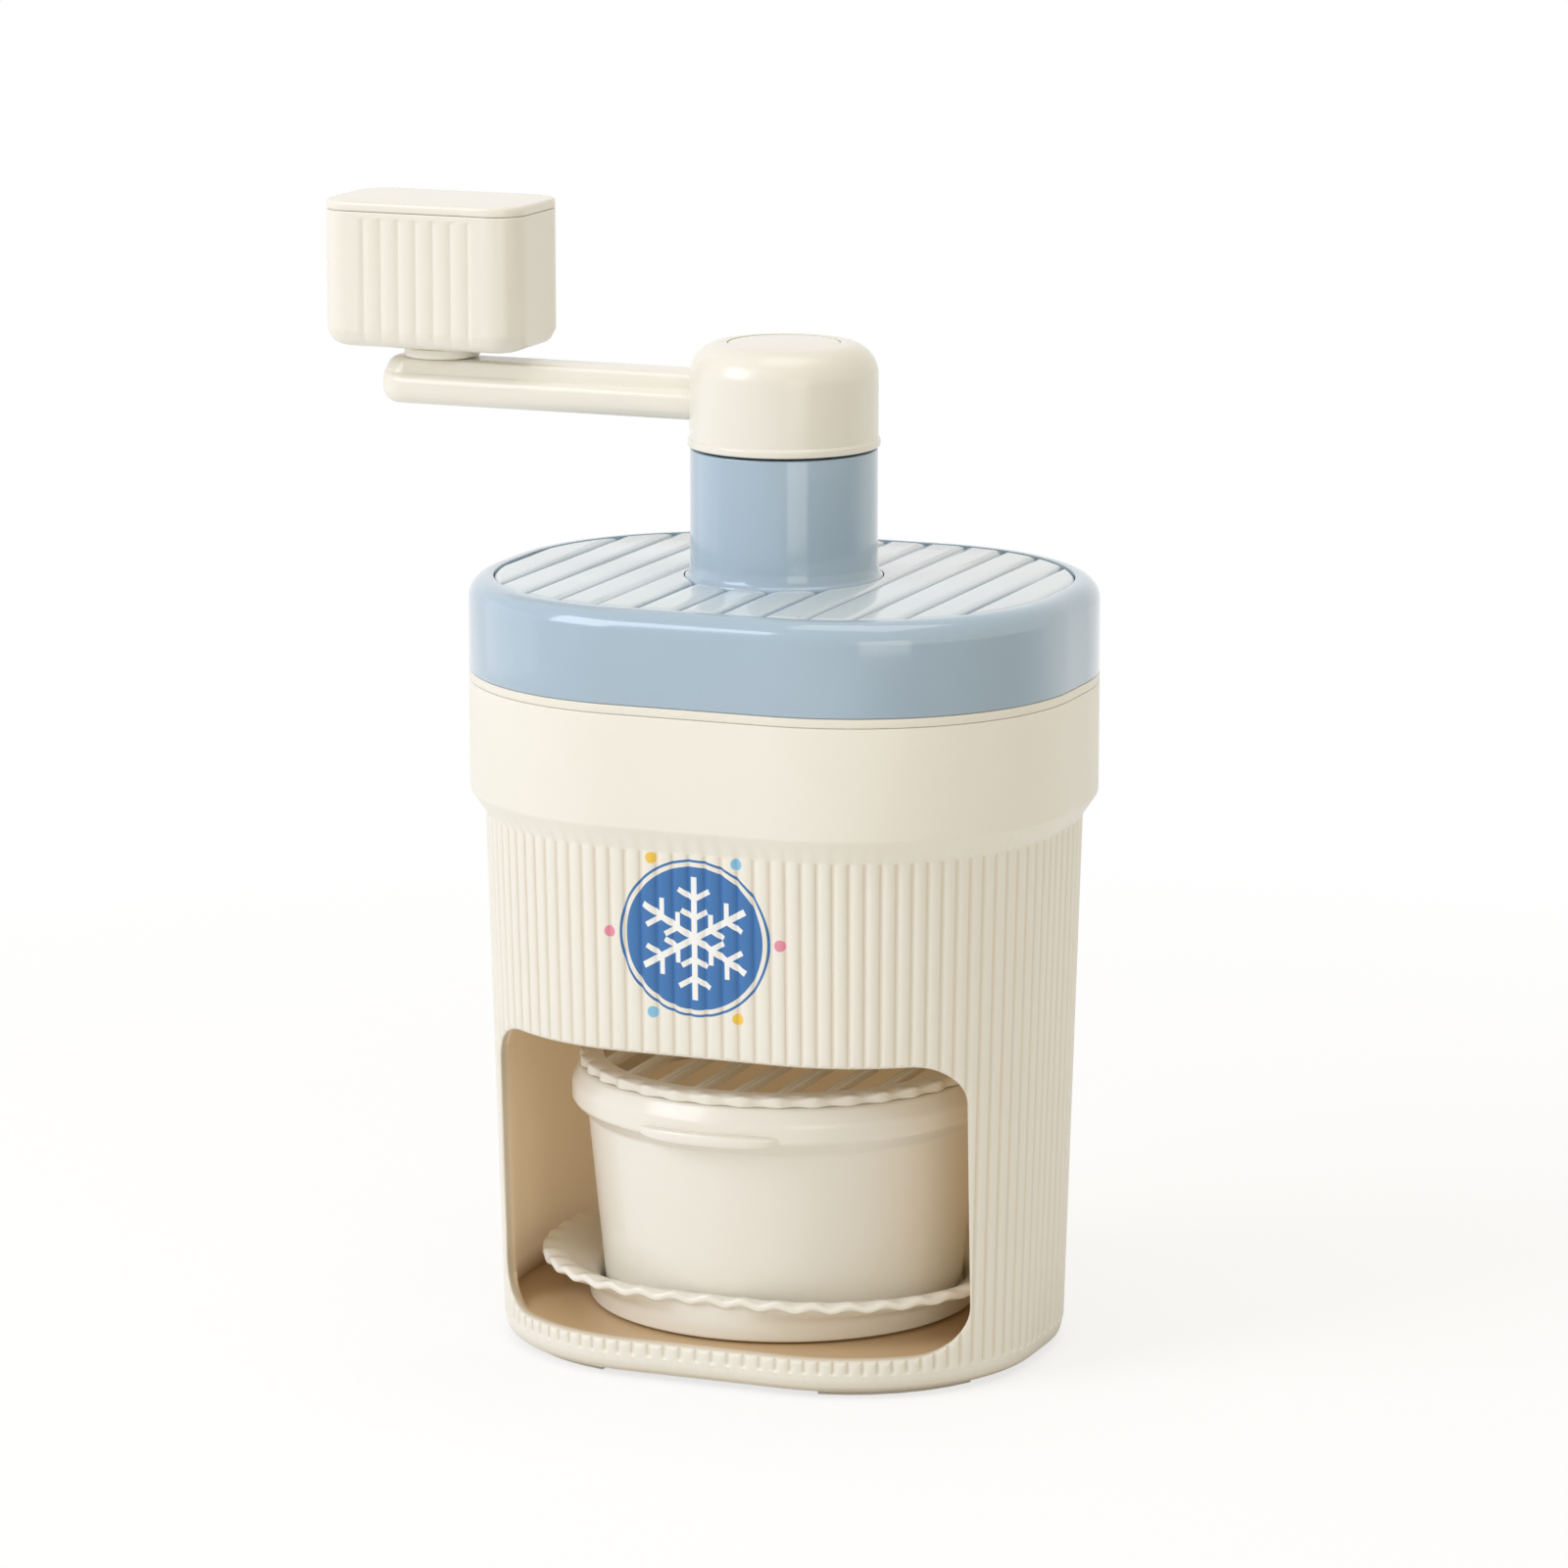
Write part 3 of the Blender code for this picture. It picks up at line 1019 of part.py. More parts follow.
presser_bore = box((PRESSER_SQUARE + 2 * GAP, PRESSER_SQUARE + 2 * GAP, hub_top - PRESSER_FOOT + 2 * MM),
                   (0, 0, (hub_top + PRESSER_FOOT) / 2))
presser = cut(presser, presser_bore)
finish("presser", presser, CREAM, 0.4, parent=crank_axis)

retainer_hole = PRESSER_SCREW_RADIUS + GAP
retainer = turned(washer_profile(retainer_hole, SHAFT_END_WASHER, 0, SHAFT_END_WASHER_THICK), SMALL)
retainer_bottom = SHAFT_BOTTOM - GAP - SHAFT_END_WASHER_THICK
finish("presser_washer", retainer, STEEL, 0.3, 1.0, location=(0, 0, retainer_bottom), parent=crank_axis)
screw = pan_screw(PRESSER_SCREW_RADIUS, PRESSER_SCREW_HEAD, PRESSER_SCREW_HEAD_HEIGHT, PRESSER_SCREW_LENGTH)
finish("presser_screw", moved(screw, turned_over), STEEL, 0.3, 1.0, location=(0, 0, retainer_bottom - GAP),
       parent=crank_axis)

seat = turned(washer_profile(SHAFT_RADIUS + GAP, SEAT_RADIUS, 0, SEAT_THICK), MIDDLE)
finish("spring_seat", seat, STEEL, 0.3, 1.0, location=(0, 0, SEAT_BOTTOM), parent=crank_axis)

# Spring: one unbroken helix between the presser's hub and its seat.
spring_bottom = hub_top + GAP + SPRING_WIRE
spring_top = SEAT_BOTTOM - GAP - SPRING_WIRE
coil = bpy.data.curves.new("coil", "CURVE")
coil.dimensions = "3D"
coil.bevel_depth = SPRING_WIRE
coil.bevel_resolution = 1
coil.use_fill_caps = True
line = coil.splines.new("POLY")
coil_points = []
for k in range(SPRING_TURNS * SPRING_POINTS + 1):
    turn = 2 * math.pi * k / SPRING_POINTS
    height = spring_bottom + (spring_top - spring_bottom) * k / (SPRING_TURNS * SPRING_POINTS)
    reach = Vector((math.cos(turn), math.sin(turn), 0)) * SPRING_MEAN_RADIUS
    coil_points.append(reach + Vector((0, 0, height)))
line.points.add(len(coil_points) - 1)
for point, place in zip(line.points, coil_points):
    point.co = (*place, 1)
least = min((a - b).length for i, a in enumerate(coil_points) for b in coil_points[i + SPRING_POINTS // 2:])
print(f"least gap of the spring to itself: {(least - 2 * SPRING_WIRE) / MM:.2f} mm")
wire = bpy.data.objects.new("wire", coil)
bpy.context.scene.collection.objects.link(wire)
bpy.context.view_layer.update()
coil_mesh = bpy.data.meshes.new_from_object(wire.evaluated_get(bpy.context.evaluated_depsgraph_get()))
bpy.data.objects.remove(wire, do_unlink=True)
finish("presser_spring", coil_mesh, STEEL, 0.25, 1.0, parent=crank_axis)

# Cup: a tapered beaker with a rim band that is chamfered under and over, and a finger tab in front.
slope = (CUP_NECK_RADIUS - CUP_FLOOR_RADIUS) / (CUP_NECK_Z - CUP_BOTTOM)
inside_floor = CUP_BOTTOM + CUP_FLOOR
inside_top = CUP_NECK_RADIUS - CUP_WALL
inside_low = inside_top - slope * (CUP_NECK_Z - inside_floor)
rim_inner = CUP_MOUTH_RADIUS - CUP_WALL
cup_profile = [
    (0, CUP_BOTTOM), (CUP_FLOOR_RADIUS - CUP_FOOT_ROUND, CUP_BOTTOM),
    (CUP_FLOOR_RADIUS, CUP_BOTTOM + CUP_FOOT_ROUND),
    (CUP_NECK_RADIUS, CUP_NECK_Z), (CUP_RIM_RADIUS, CUP_RIM_Z), (CUP_RIM_RADIUS, CUP_BAND_TOP),
    (CUP_MOUTH_RADIUS, CUP_TOP), (rim_inner, CUP_TOP), (rim_inner, CUP_RIM_Z),
    (inside_top, CUP_NECK_Z), (inside_low, inside_floor + CUP_FOOT_ROUND),
    (inside_low - CUP_FOOT_ROUND, inside_floor), (0, inside_floor)]
cup = turned(cup_profile, LARGE)


def tab_ring(reach, z, steps=8):
    """An arc band on the front of the rim that tapers into it at both ends."""
    outer = []
    inner = []
    for k in range(steps + 1):
        share = k / steps * 2 - 1
        turn = math.radians(-90 + TAB_ANGLE * share)
        out = CUP_RIM_RADIUS - 0.6 * MM + (reach + 0.6 * MM) * (1 - share ** 4)
        outer.append(Vector((out * math.cos(turn), out * math.sin(turn), z)))
        keep = CUP_RIM_RADIUS - CUP_WALL * 0.8
        inner.append(Vector((keep * math.cos(turn), keep * math.sin(turn), z)))
    return outer + inner[::-1]


tab = loft([tab_ring(0.2 * TAB_OUT, CUP_RIM_Z + 0.1 * MM), tab_ring(TAB_OUT, CUP_RIM_Z + 0.9 * MM),
            tab_ring(TAB_OUT, CUP_RIM_Z + TAB_HEIGHT - 0.7 * MM),
            tab_ring(0.3 * TAB_OUT, CUP_RIM_Z + TAB_HEIGHT)])
cup = join(cup, tab)
finish("cup", cup, CREAM, 0.3, parent=cup_axis)

# Strainer: a slotted plate with a drop-in skirt and a wavy edge that lies on the cup's rim.
strainer_bottom = CUP_TOP + GAP
strainer_top = strainer_bottom + STRAINER_EDGE
skirt_radius = rim_inner - GAP
wave_radius = CUP_MOUTH_RADIUS - STRAINER_WAVE


def circle(radius, z, count):
    """A plain circle of points at one height."""
    points = []
    for k in range(count):
        turn = 2 * math.pi * k / count
        points.append(Vector((radius * math.cos(turn), radius * math.sin(turn), z)))
    return points


def wavy_circle(radius, z, waves, swing_out, swing_up):
    """A circle with four points to a wave, swung outwards and upwards on its crests."""
    points = []
    for k in range(4 * waves):
        turn = 2 * math.pi * k / (4 * waves)
        swing = math.cos(math.pi * k / 2)
        reach = radius + swing_out * swing
        points.append(Vector((reach * math.cos(turn), reach * math.sin(turn), z + swing_up * swing)))
    return points


plate_bottom = strainer_top - STRAINER_PLATE
strainer = loft([
    circle(skirt_radius - STRAINER_SKIRT_WALL, plate_bottom, STRAINER_WAVES),
    circle(skirt_radius - STRAINER_SKIRT_WALL, strainer_bottom - STRAINER_SKIRT, STRAINER_WAVES),
    circle(skirt_radius, strainer_bottom - STRAINER_SKIRT, STRAINER_WAVES),
    circle(skirt_radius, strainer_bottom, STRAINER_WAVES),
    wavy_circle(wave_radius, strainer_bottom, STRAINER_WAVES, STRAINER_WAVE, 0),
    wavy_circle(wave_radius, strainer_top - 0.3 * MM, STRAINER_WAVES, STRAINER_WAVE, STRAINER_WAVE),
    circle(CUP_MOUTH_RADIUS - STRAINER_EDGE, strainer_top, STRAINER_WAVES),
])
slot_radius = skirt_radius - STRAINER_RING
slot_width = STRAINER_PITCH - STRAINER_BAR
slots = int(slot_radius / STRAINER_PITCH)
for k in range(-slots, slots + 1):
    middle = k * STRAINER_PITCH
    low_x = max(middle - slot_width / 2, -slot_radius + MM)
    high_x = min(middle + slot_width / 2, slot_radius - MM)
    if high_x - low_x < 2 * MM:
        continue
    front = []
    back = []
    for step in range(3):
        x = low_x + (high_x - low_x) * step / 2
        reach = math.sqrt(slot_radius ** 2 - x ** 2)
        front.append((x, -reach))
        back.append((x, reach))
    slot = prism(front + back[::-1], plate_bottom - MM, strainer_top + MM)
    strainer = cut(strainer, slot)
finish("strainer", strainer, SHELL_CREAM, 0.3, parent=cup_axis)

# Saucer: a round foot and bowl that hold the cup, opening out to an oval flange with a wavy edge.
saucer_plan = plan(SAUCER_WIDTH, SAUCER_DEPTH, SAUCER_RADIUS, SAUCER_WAVES)
saucer_wave_plan = plan(SAUCER_WIDTH, SAUCER_DEPTH, SAUCER_RADIUS, 4 * SAUCER_WAVES)


def saucer_edge(inset, z, swing):
    """The flange's outline with a wave along it, up and down."""
    ring = inset_ring(saucer_wave_plan, inset, z)
    return [p + Vector((0, 0, swing * math.cos(math.pi * k / 2))) for k, p in enumerate(ring)]


bowl_radius = CUP_FLOOR_RADIUS + CUP_SEAT_CLEARANCE
saucer = loft([
    round_ring(saucer_plan, SAUCER_FOOT_RADIUS - MM, SAUCER_BOTTOM),
    round_ring(saucer_plan, SAUCER_FOOT_RADIUS, SAUCER_BOTTOM + MM),
    round_ring(saucer_plan, SAUCER_HIP_RADIUS, SAUCER_HIP_Z),
    inset_ring(saucer_plan, 1.6 * MM, SAUCER_TOP - SAUCER_EDGE - 0.4 * MM),
    saucer_edge(0, SAUCER_TOP - SAUCER_EDGE, SAUCER_WAVE),
    saucer_edge(0.3 * MM, SAUCER_TOP - 0.1 * MM, SAUCER_WAVE),
    inset_ring(saucer_plan, 1.8 * MM, SAUCER_TOP),
    inset_ring(saucer_plan, SAUCER_LIP - 0.6 * MM, SAUCER_TOP - 0.6 * MM),
    round_ring(saucer_plan, bowl_radius + 0.8 * MM, SAUCER_HIP_Z),
    round_ring(saucer_plan, bowl_radius, SAUCER_BOTTOM + SAUCER_FLOOR),
])
finish("saucer", saucer, SHELL_CREAM, 0.3, parent=cup_axis)
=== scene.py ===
import math

import bmesh
import bpy
import numpy as np
from mathutils import Matrix, Vector


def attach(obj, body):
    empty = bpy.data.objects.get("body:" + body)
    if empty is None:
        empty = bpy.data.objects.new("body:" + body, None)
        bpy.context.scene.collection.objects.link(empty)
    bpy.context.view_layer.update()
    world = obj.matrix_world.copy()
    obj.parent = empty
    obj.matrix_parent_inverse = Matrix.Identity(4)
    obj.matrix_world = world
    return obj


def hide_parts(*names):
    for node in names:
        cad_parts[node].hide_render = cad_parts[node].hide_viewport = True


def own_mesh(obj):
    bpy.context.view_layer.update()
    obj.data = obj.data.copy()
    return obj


# Hand cranked ice crusher. The crank turns on the Z axis and the window faces -Y. Shapes are written in
# millimetres, and become metres when a mesh is made.
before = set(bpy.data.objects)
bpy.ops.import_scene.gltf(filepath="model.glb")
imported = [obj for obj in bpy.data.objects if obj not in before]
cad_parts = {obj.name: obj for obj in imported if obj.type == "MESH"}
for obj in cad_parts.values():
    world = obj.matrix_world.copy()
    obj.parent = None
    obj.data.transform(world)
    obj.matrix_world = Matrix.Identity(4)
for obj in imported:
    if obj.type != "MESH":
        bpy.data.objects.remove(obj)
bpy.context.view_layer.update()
MM = 0.001


# ---- Housing -------------------------------------------------------------------------
# One cream ABS moulding: a plain collar, a bevel, a ribbed wall that narrows downwards, and a window in
# front. It is injection moulded in a polished tool, and the picture on its ribs is pad printed.
BODY = (130.0, 106.0, 48.0)
WALL = 2.6
COLLAR_TOP = 140.32
CREASE = 117.0
WALL_STEP = 3.2
DRAFT = 0.029
RIBS = 110
RIB_TOP = 112.3
RIB_FOOT = 3.9
RIB_RUNOUT = 1.1
RIB_DEPTH = 0.75
FLOOR_TOP = 7.3
WINDOW = (104.0, 61.6, 9.0)
MATH = "ShaderNodeMath"
VECTOR_MATH = "ShaderNodeVectorMath"
RANGE = "ShaderNodeMapRange"
MIX = "ShaderNodeMix"
NOISE = "ShaderNodeTexNoise"
COMBINE = "ShaderNodeCombineXYZ"


def tone(colour):
    """The linear values of a colour that is written as sRGB hex."""
    parts = [int(colour[k:k + 2], 16) / 255 for k in (1, 3, 5)]
    return (*(c / 12.92 if c <= 0.04045 else ((c + 0.055) / 1.055) ** 2.4 for c in parts), 1.0)


def feed(node, feeds):
    """Sets a node's inputs: to a value, or linked to an output, or to the first output a node has in use."""
    for key, value in feeds.items():
        if isinstance(value, bpy.types.Node):
            value = next(output for output in value.outputs if output.enabled)
        if isinstance(value, bpy.types.NodeSocket):
            node.id_data.links.new(value, node.inputs[key])
        else:
            node.inputs[key].default_value = value
    return node


def put(tree, kind, feeds=None, **settings):
    """Adds a node. Its settings are properties, and its feeds are inputs."""
    node = tree.nodes.new(kind)
    for key, value in settings.items():
        setattr(node, key, value)
    return feed(node, feeds or {})


def oval(width, depth, radius, count):
    """Evenly spaced places round a rounded rectangle, their outward directions and the lengths walked."""
    flat_x, flat_y, arc = width - 2 * radius, depth - 2 * radius, math.pi * radius / 2
    runs = np.array([flat_x / 2, arc, flat_y, arc, flat_x, arc, flat_y, arc, flat_x / 2])
    ends = np.cumsum(runs)
    walk = np.arange(count) * ends[-1] / count
    run = np.minimum(np.searchsorted(ends, walk, side="right"), 8)
    bends = run % 2
    step = walk - (ends - runs)[run]
    facing = np.radians([-90, -90, 0, 0, 90, 90, 180, 180, 270])[run] + bends * step / radius
    outward = np.column_stack([np.cos(facing), np.sin(facing)])
    along = np.column_stack([-outward[:, 1], outward[:, 0]])
    corner_x = np.array([0, 1, 1, 1, 1, -1, -1, -1, -1])[run] * flat_x / 2
    corner_y = np.array([-1, -1, -1, 1, 1, 1, 1, -1, -1])[run] * flat_y / 2
    places = np.column_stack([corner_x, corner_y]) + outward * radius + along * (step * (1 - bends))[:, None]
    return places, outward, walk


def ring(plan, inset, z):
    """The plan drawn in by an inset, at a height."""
    flat = plan[0] - plan[1] * np.reshape(inset, (-1, 1))
    return np.column_stack([flat, np.broadcast_to(z, len(flat))])


def circle(plan, radius, z):
    """A circle with its points in the directions of the plan's."""
    flat = plan[0] / np.linalg.norm(plan[0], axis=1, keepdims=True) * np.reshape(radius, (-1, 1))
    return np.column_stack([flat, np.broadcast_to(z, len(flat))])


def stack(plan, *rows):
    """Rings on a plan. A row is ring or circle, its inset or radius, its height and maybe its reach."""
    rings = []
    for draw, size, z, *reach in rows:
        here = draw(plan, size, z)
        rings.append((here, *reach) if reach else here)
    return rings


def soften(rings, reach=0.4, loop=False, steps=4):
    """Eases the corner at each ring by a curve. A ring in a tuple brings its own reach."""
    pairs = [r if isinstance(r, tuple) else (r, reach) for r in rings]
    soft = []
    for k, (here, own) in enumerate(pairs):
        if own == 0 or (not loop and k in (0, len(pairs) - 1)):
            soft.append(here)
            continue
        before = pairs[k - 1][0] - here
        after = pairs[(k + 1) % len(pairs)][0] - here
        back = np.maximum(np.linalg.norm(before, axis=1, keepdims=True), 1e-9)
        ahead = np.maximum(np.linalg.norm(after, axis=1, keepdims=True), 1e-9)
        own = np.minimum(own, 0.45 * np.minimum(back, ahead))
        start = here + before / back * own
        end = here + after / ahead * own
        for step in range(steps + 1):
            t = step / steps
            soft.append((1 - t) ** 2 * start + 2 * t * (1 - t) * here + t ** 2 * end)
    return soft


def stand(name, data):
    """An object in the scene with this mesh, lamp or lens."""
    thing = bpy.data.objects.new(name, data)
    bpy.context.scene.collection.objects.link(thing)
    return thing


def form(name, rings, loop=False, marks=None):
    """An object through rings of points: a closed band, or a solid with a cap at each end.

    Marks are the walk round the plan, each ring's share of a pattern's depth, and the outward directions.
    """
    rings = [np.asarray(r, float) for r in rings]
    count = len(rings[0])
    points = np.concatenate(rings)
    here = np.arange(count)
    there = (here + 1) % count
    faces = []
    for k in range(len(rings) if loop else len(rings) - 1):
        low, high = k * count, (k + 1) % len(rings) * count
        faces += np.column_stack([low + here, low + there, high + there, high + here]).tolist()
    if not loop:
        for start, order in ((0, -1), ((len(rings) - 1) * count, 1)):
            centre = np.full(count, len(points))
            points = np.vstack([points, points[start:start + count].mean(axis=0)])
            faces += np.column_stack([centre, start + here, start + there])[:, ::order].tolist()
    mesh = bpy.data.meshes.new(name)
    mesh.from_pydata((points * MM).tolist(), [], faces)
    if marks:
        walk, share, outward = marks
        share = np.broadcast_to(np.reshape(share, (len(rings), -1)), (len(rings), count))
        values = {"walk": np.tile(walk, len(rings)) * MM, "share": share.ravel(),
                  "outward": np.tile(outward, (len(rings), 1))}
        for key, value in values.items():
            whole = np.zeros((len(points), *value.shape[1:]))
            whole[:len(value)] = value
            layer = mesh.attributes.new(key, "FLOAT_VECTOR" if key == "outward" else "FLOAT", "POINT")
            layer.data.foreach_set("vector" if key == "outward" else "value", whole.ravel())
    work = bmesh.new()
    work.from_mesh(mesh)
    bmesh.ops.recalc_face_normals(work, faces=work.faces)
    work.to_mesh(mesh)
    work.free()
    return stand(name, mesh)


def settle(thing):
    """Keeps what the modifiers make of a thing as its plain mesh."""
    bpy.context.view_layer.update()
    shape = thing.evaluated_get(bpy.context.evaluated_depsgraph_get())
    mesh = bpy.data.meshes.new_from_object(shape)
    thing.modifiers.clear()
    thing.data = mesh
    return thing


def grow(thing, tree, **sizes):
    """Runs a tree of geometry nodes on a thing with these inputs, and settles it."""
    step = thing.modifiers.new(tree.name, "NODES")
    step.node_group = tree
    for socket in tree.interface.items_tree:
        if socket.in_out == "INPUT" and socket.name in sizes:
            step[socket.identifier] = sizes[socket.name]
    return settle(thing)


def carve(thing, *tools, operation="DIFFERENCE"):
    """Cuts tools out of a thing, or joins them to it, and removes them."""
    for tool in tools:
        step = thing.modifiers.new("step", "BOOLEAN")
        step.operation = operation
        step.solver = "EXACT"
        step.object = tool
        settle(thing)
        bpy.data.objects.remove(tool, do_unlink=True)
    return thing


def piece(thing, body, paint, *stands_for):
    """Finishes a piece: material, smooth faces with crisp edges, its body and the CAD nodes it replaces."""
    thing.data.materials.clear()
    thing.data.materials.append(paint)
    thing.data.shade_smooth()
    thing.data.set_sharp_from_angle(angle=math.radians(35))
    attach(thing, body)
    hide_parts(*stands_for)
    return thing


def opened(paint):
    """A material's tree, its shader and the place on the piece."""
    paint.use_nodes = True
    tree = paint.node_tree
    return tree, tree.nodes["Principled BSDF"], put(tree, "ShaderNodeTexCoord").outputs["Object"]


def moulded(name, colour, deep, roughness, coat=0.0, peel=0.7, relief=0.02):
    """An injection moulded plastic, with a faint flow mottle between two tones and fine orange peel."""
    paint = bpy.data.materials.new(name)
    tree, shader, place = opened(paint)
    flow = put(tree, NOISE, {"Vector": place, "Scale": 1 / (17 * MM), "Detail": 2.0})
    gloss = {"Value": flow, "To Min": roughness - 0.03, "To Max": roughness + 0.03}
    grain = put(tree, NOISE, {"Vector": place, "Scale": 1 / (peel * MM), "Detail": 1.0})
    feed(shader, {
        "Base Color": put(tree, MIX, {0: flow, 6: tone(colour), 7: tone(deep)}, data_type="RGBA"),
        "Roughness": put(tree, RANGE, gloss),
        "Normal": put(tree, "ShaderNodeBump", {"Height": grain, "Strength": 0.3, "Distance": relief * MM}),
        "IOR": 1.5, "Coat Weight": coat, "Coat Roughness": 0.06})
    return paint


def shape_tree(name, **inputs):
    """A tree of geometry nodes with these named inputs, and the outputs that carry them into it."""
    tree = bpy.data.node_groups.new(name, "GeometryNodeTree")
    for key, kind in {"Geometry": "Geometry", **inputs, "Material": "Material"}.items():
        tree.interface.new_socket(key, in_out="INPUT", socket_type="NodeSocket" + kind)
    tree.interface.new_socket("Geometry", in_out="OUTPUT", socket_type="NodeSocketGeometry")
    return tree, put(tree, "NodeGroupInput").outputs


def end_tree(tree, shape, given):
    """Ends a tree of geometry nodes: its copies are made real, and the material is set."""
    real = put(tree, "GeometryNodeRealizeInstances", {"Geometry": shape})
    dressed = put(tree, "GeometryNodeSetMaterial", {"Geometry": real, "Material": given["Material"]})
    put(tree, "NodeGroupOutput", {"Geometry": dressed})


# Ribs and flutes: each point moves in along its outward direction by a wave of its walk round the piece.
flutes, given = shape_tree("flutes", Pitch="Float", Shift="Float", Depth="Float", Roundness="Float")
walked, shared, faced = (
    put(flutes, "GeometryNodeInputNamedAttribute", {"Name": key}, data_type=kind)
    for key, kind in (("walk", "FLOAT"), ("share", "FLOAT"), ("outward", "FLOAT_VECTOR")))
count = put(flutes, MATH, {0: walked, 1: given["Pitch"]}, operation="DIVIDE")
count = put(flutes, MATH, {0: count, 1: given["Shift"]}, operation="ADD")
phase = put(flutes, MATH, {0: count}, operation="FRACT")
swing = put(flutes, MATH, {0: phase, 1: 2.0, 2: -1.0}, operation="MULTIPLY_ADD")
swing = put(flutes, MATH, {0: swing}, operation="ABSOLUTE")
groove = put(flutes, MATH, {0: swing, 1: given["Roundness"]}, operation="POWER")
sink = put(flutes, MATH, {0: groove, 1: given["Depth"]}, operation="MULTIPLY")
sink = put(flutes, MATH, {0: sink, 1: shared}, operation="MULTIPLY")
sink = put(flutes, MATH, {0: sink, 1: -1.0}, operation="MULTIPLY")
offset = put(flutes, VECTOR_MATH, {0: faced, "Scale": sink}, operation="SCALE")
waved = put(flutes, "GeometryNodeSetPosition", {"Geometry": given["Geometry"], "Offset": offset})
end_tree(flutes, waved, given)

# Cream ABS from a polished tool: satin. Its warm tone in the hollows is painted bounce light and its darker
# grooves painted shade, both added to this material below.
shell_cream = moulded("printed cream ABS", "#EFEDE3", "#EDEADE", 0.36)


def wall_inset(z):
    """How far the tapered wall stands in from the collar at a height."""
    return WALL_STEP + DRAFT * (RIB_TOP - z)


rib_plan = oval(*BODY, RIBS * 8)
pitch = rib_plan[2][8]
rows = soften(stack(rib_plan, (ring, 9.358, 5.1), (ring, 9.358, 0), (ring, 8.358, 0), (ring, 7.058, 0.95),
                    (ring, 6.36, 3.4)), 0.6)[:-1]
shares = [0.0] * len(rows)
fades = (0, 0.25, 0.5, 0.75, 1)
heights = [(RIB_FOOT + RIB_RUNOUT * fade, fade) for fade in fades]
heights += [(z, 1) for z in np.linspace(FLOOR_TOP, 109, 14)]
heights += [(RIB_TOP - RIB_RUNOUT * fade, fade) for fade in fades[::-1]]
for z, fade in heights:
    rows.append(ring(rib_plan, wall_inset(z), z))
    shares.append(math.sin(math.pi / 2 * fade) ** 0.7)
upper = soften(stack(
    rib_plan, (ring, WALL_STEP, RIB_TOP), (ring, 0, CREASE, 0.5), (ring, 0, COLLAR_TOP, 0.3),
    (ring, WALL, COLLAR_TOP), (ring, WALL, 118.04), (ring, 5.8, 112.56), (ring, 8.845, FLOOR_TOP)), 0.6)[1:]
rows += upper
shares += [0.0] * len(upper)
outward = np.column_stack([rib_plan[1], np.zeros(len(rib_plan[1]))])
housing = form("ribbed_housing", rows, marks=(rib_plan[2], shares, outward))
grow(housing, flutes, Pitch=pitch * MM, Shift=1 / 3, Depth=RIB_DEPTH * MM, Roundness=3.0,
     Material=shell_cream)


def wall_front(x, z):
    """How far forward the wall's face stands at a place across the front."""
    inset = wall_inset(z)
    past = np.maximum(np.abs(x) - (BODY[0] / 2 - BODY[2]), 0)
    return BODY[2] - BODY[1] / 2 - np.sqrt((BODY[2] - inset) ** 2 - past ** 2)


# The window's cutter follows the wall with a small curve, so the opening has the rounded edge of the real
# one. Its sill lies just clear of the floor's plane.
window_plan = oval(*WINDOW, 260)
window_rings = []
CUT_FROM = -60.0
CUT_TO = -13.0
SILL_CLEAR = 0.02
for grown, behind in ((1.6, CUT_FROM), (1.6, -0.03), (1.08, 0.08), (0.64, 0.28), (0.3, 0.58), (0.08, 1.0),
                      (0, 1.6), (0, CUT_TO)):
    flat = window_plan[0] + window_plan[1] * grown
    x, z = flat[:, 0], flat[:, 1] + FLOOR_TOP + SILL_CLEAR + WINDOW[1] / 2
    y = np.full(len(x), behind) if behind in (CUT_FROM, CUT_TO) else wall_front(x, z) + behind
    window_rings.append(np.column_stack([x, y, z]))
carve(housing, form("window_cutter", window_rings))

# The print: a blue disc with a snowflake, a fine ring and small dots, on the crowns of the ribs only.
PRINT_HEIGHT = 94.4
DISC_RADIUS = 15.0
BORDER_RADIUS = 16.2
BORDER_HALF = 0.27
DOT_PLACE = (16.2, 9.35, 0)
DOT_RADIUS = 1.2
FLAKE_REACH = 12.9
FLAKE_HALF = 0.68
BRANCHES = ((4.2, 3.2), (8.2, 3.9))
BRANCH_HALF = 0.56
tree, shader, place = opened(shell_cream)
bare = shader.inputs["Base Color"].links[0].from_socket
in_mm = {"Vector": place, "Scale": (1000, 1000, 1000), "Location": (0, 0, -PRINT_HEIGHT)}
place = put(tree, "ShaderNodeMapping", in_mm)
split = put(tree, "ShaderNodeSeparateXYZ", {0: place}).outputs
across, depth, rise = split[0], split[1], split[2]
height = put(tree, MATH, {0: rise, 1: PRINT_HEIGHT}, operation="ADD")
flat_place = put(tree, COMBINE, {0: across, 1: depth})
flat = put(tree, COMBINE, {0: across, 2: rise})
reach = put(tree, VECTOR_MATH, {0: flat}, operation="LENGTH")
turn = put(tree, MATH, {0: rise, 1: across}, operation="ARCTAN2")
turn = put(tree, MATH, {0: turn, 1: math.pi / 2 + 2 * math.pi}, operation="ADD")
fold = put(tree, MATH, {0: turn, 1: math.pi / 6}, operation="PINGPONG")
cosine = put(tree, MATH, {0: fold}, operation="COSINE")
sine = put(tree, MATH, {0: fold}, operation="SINE")
arm_u = put(tree, MATH, {0: reach, 1: cosine}, operation="MULTIPLY")
arm_v = put(tree, MATH, {0: reach, 1: sine}, operation="MULTIPLY")
sector = put(tree, COMBINE, {0: arm_u, 1: arm_v})
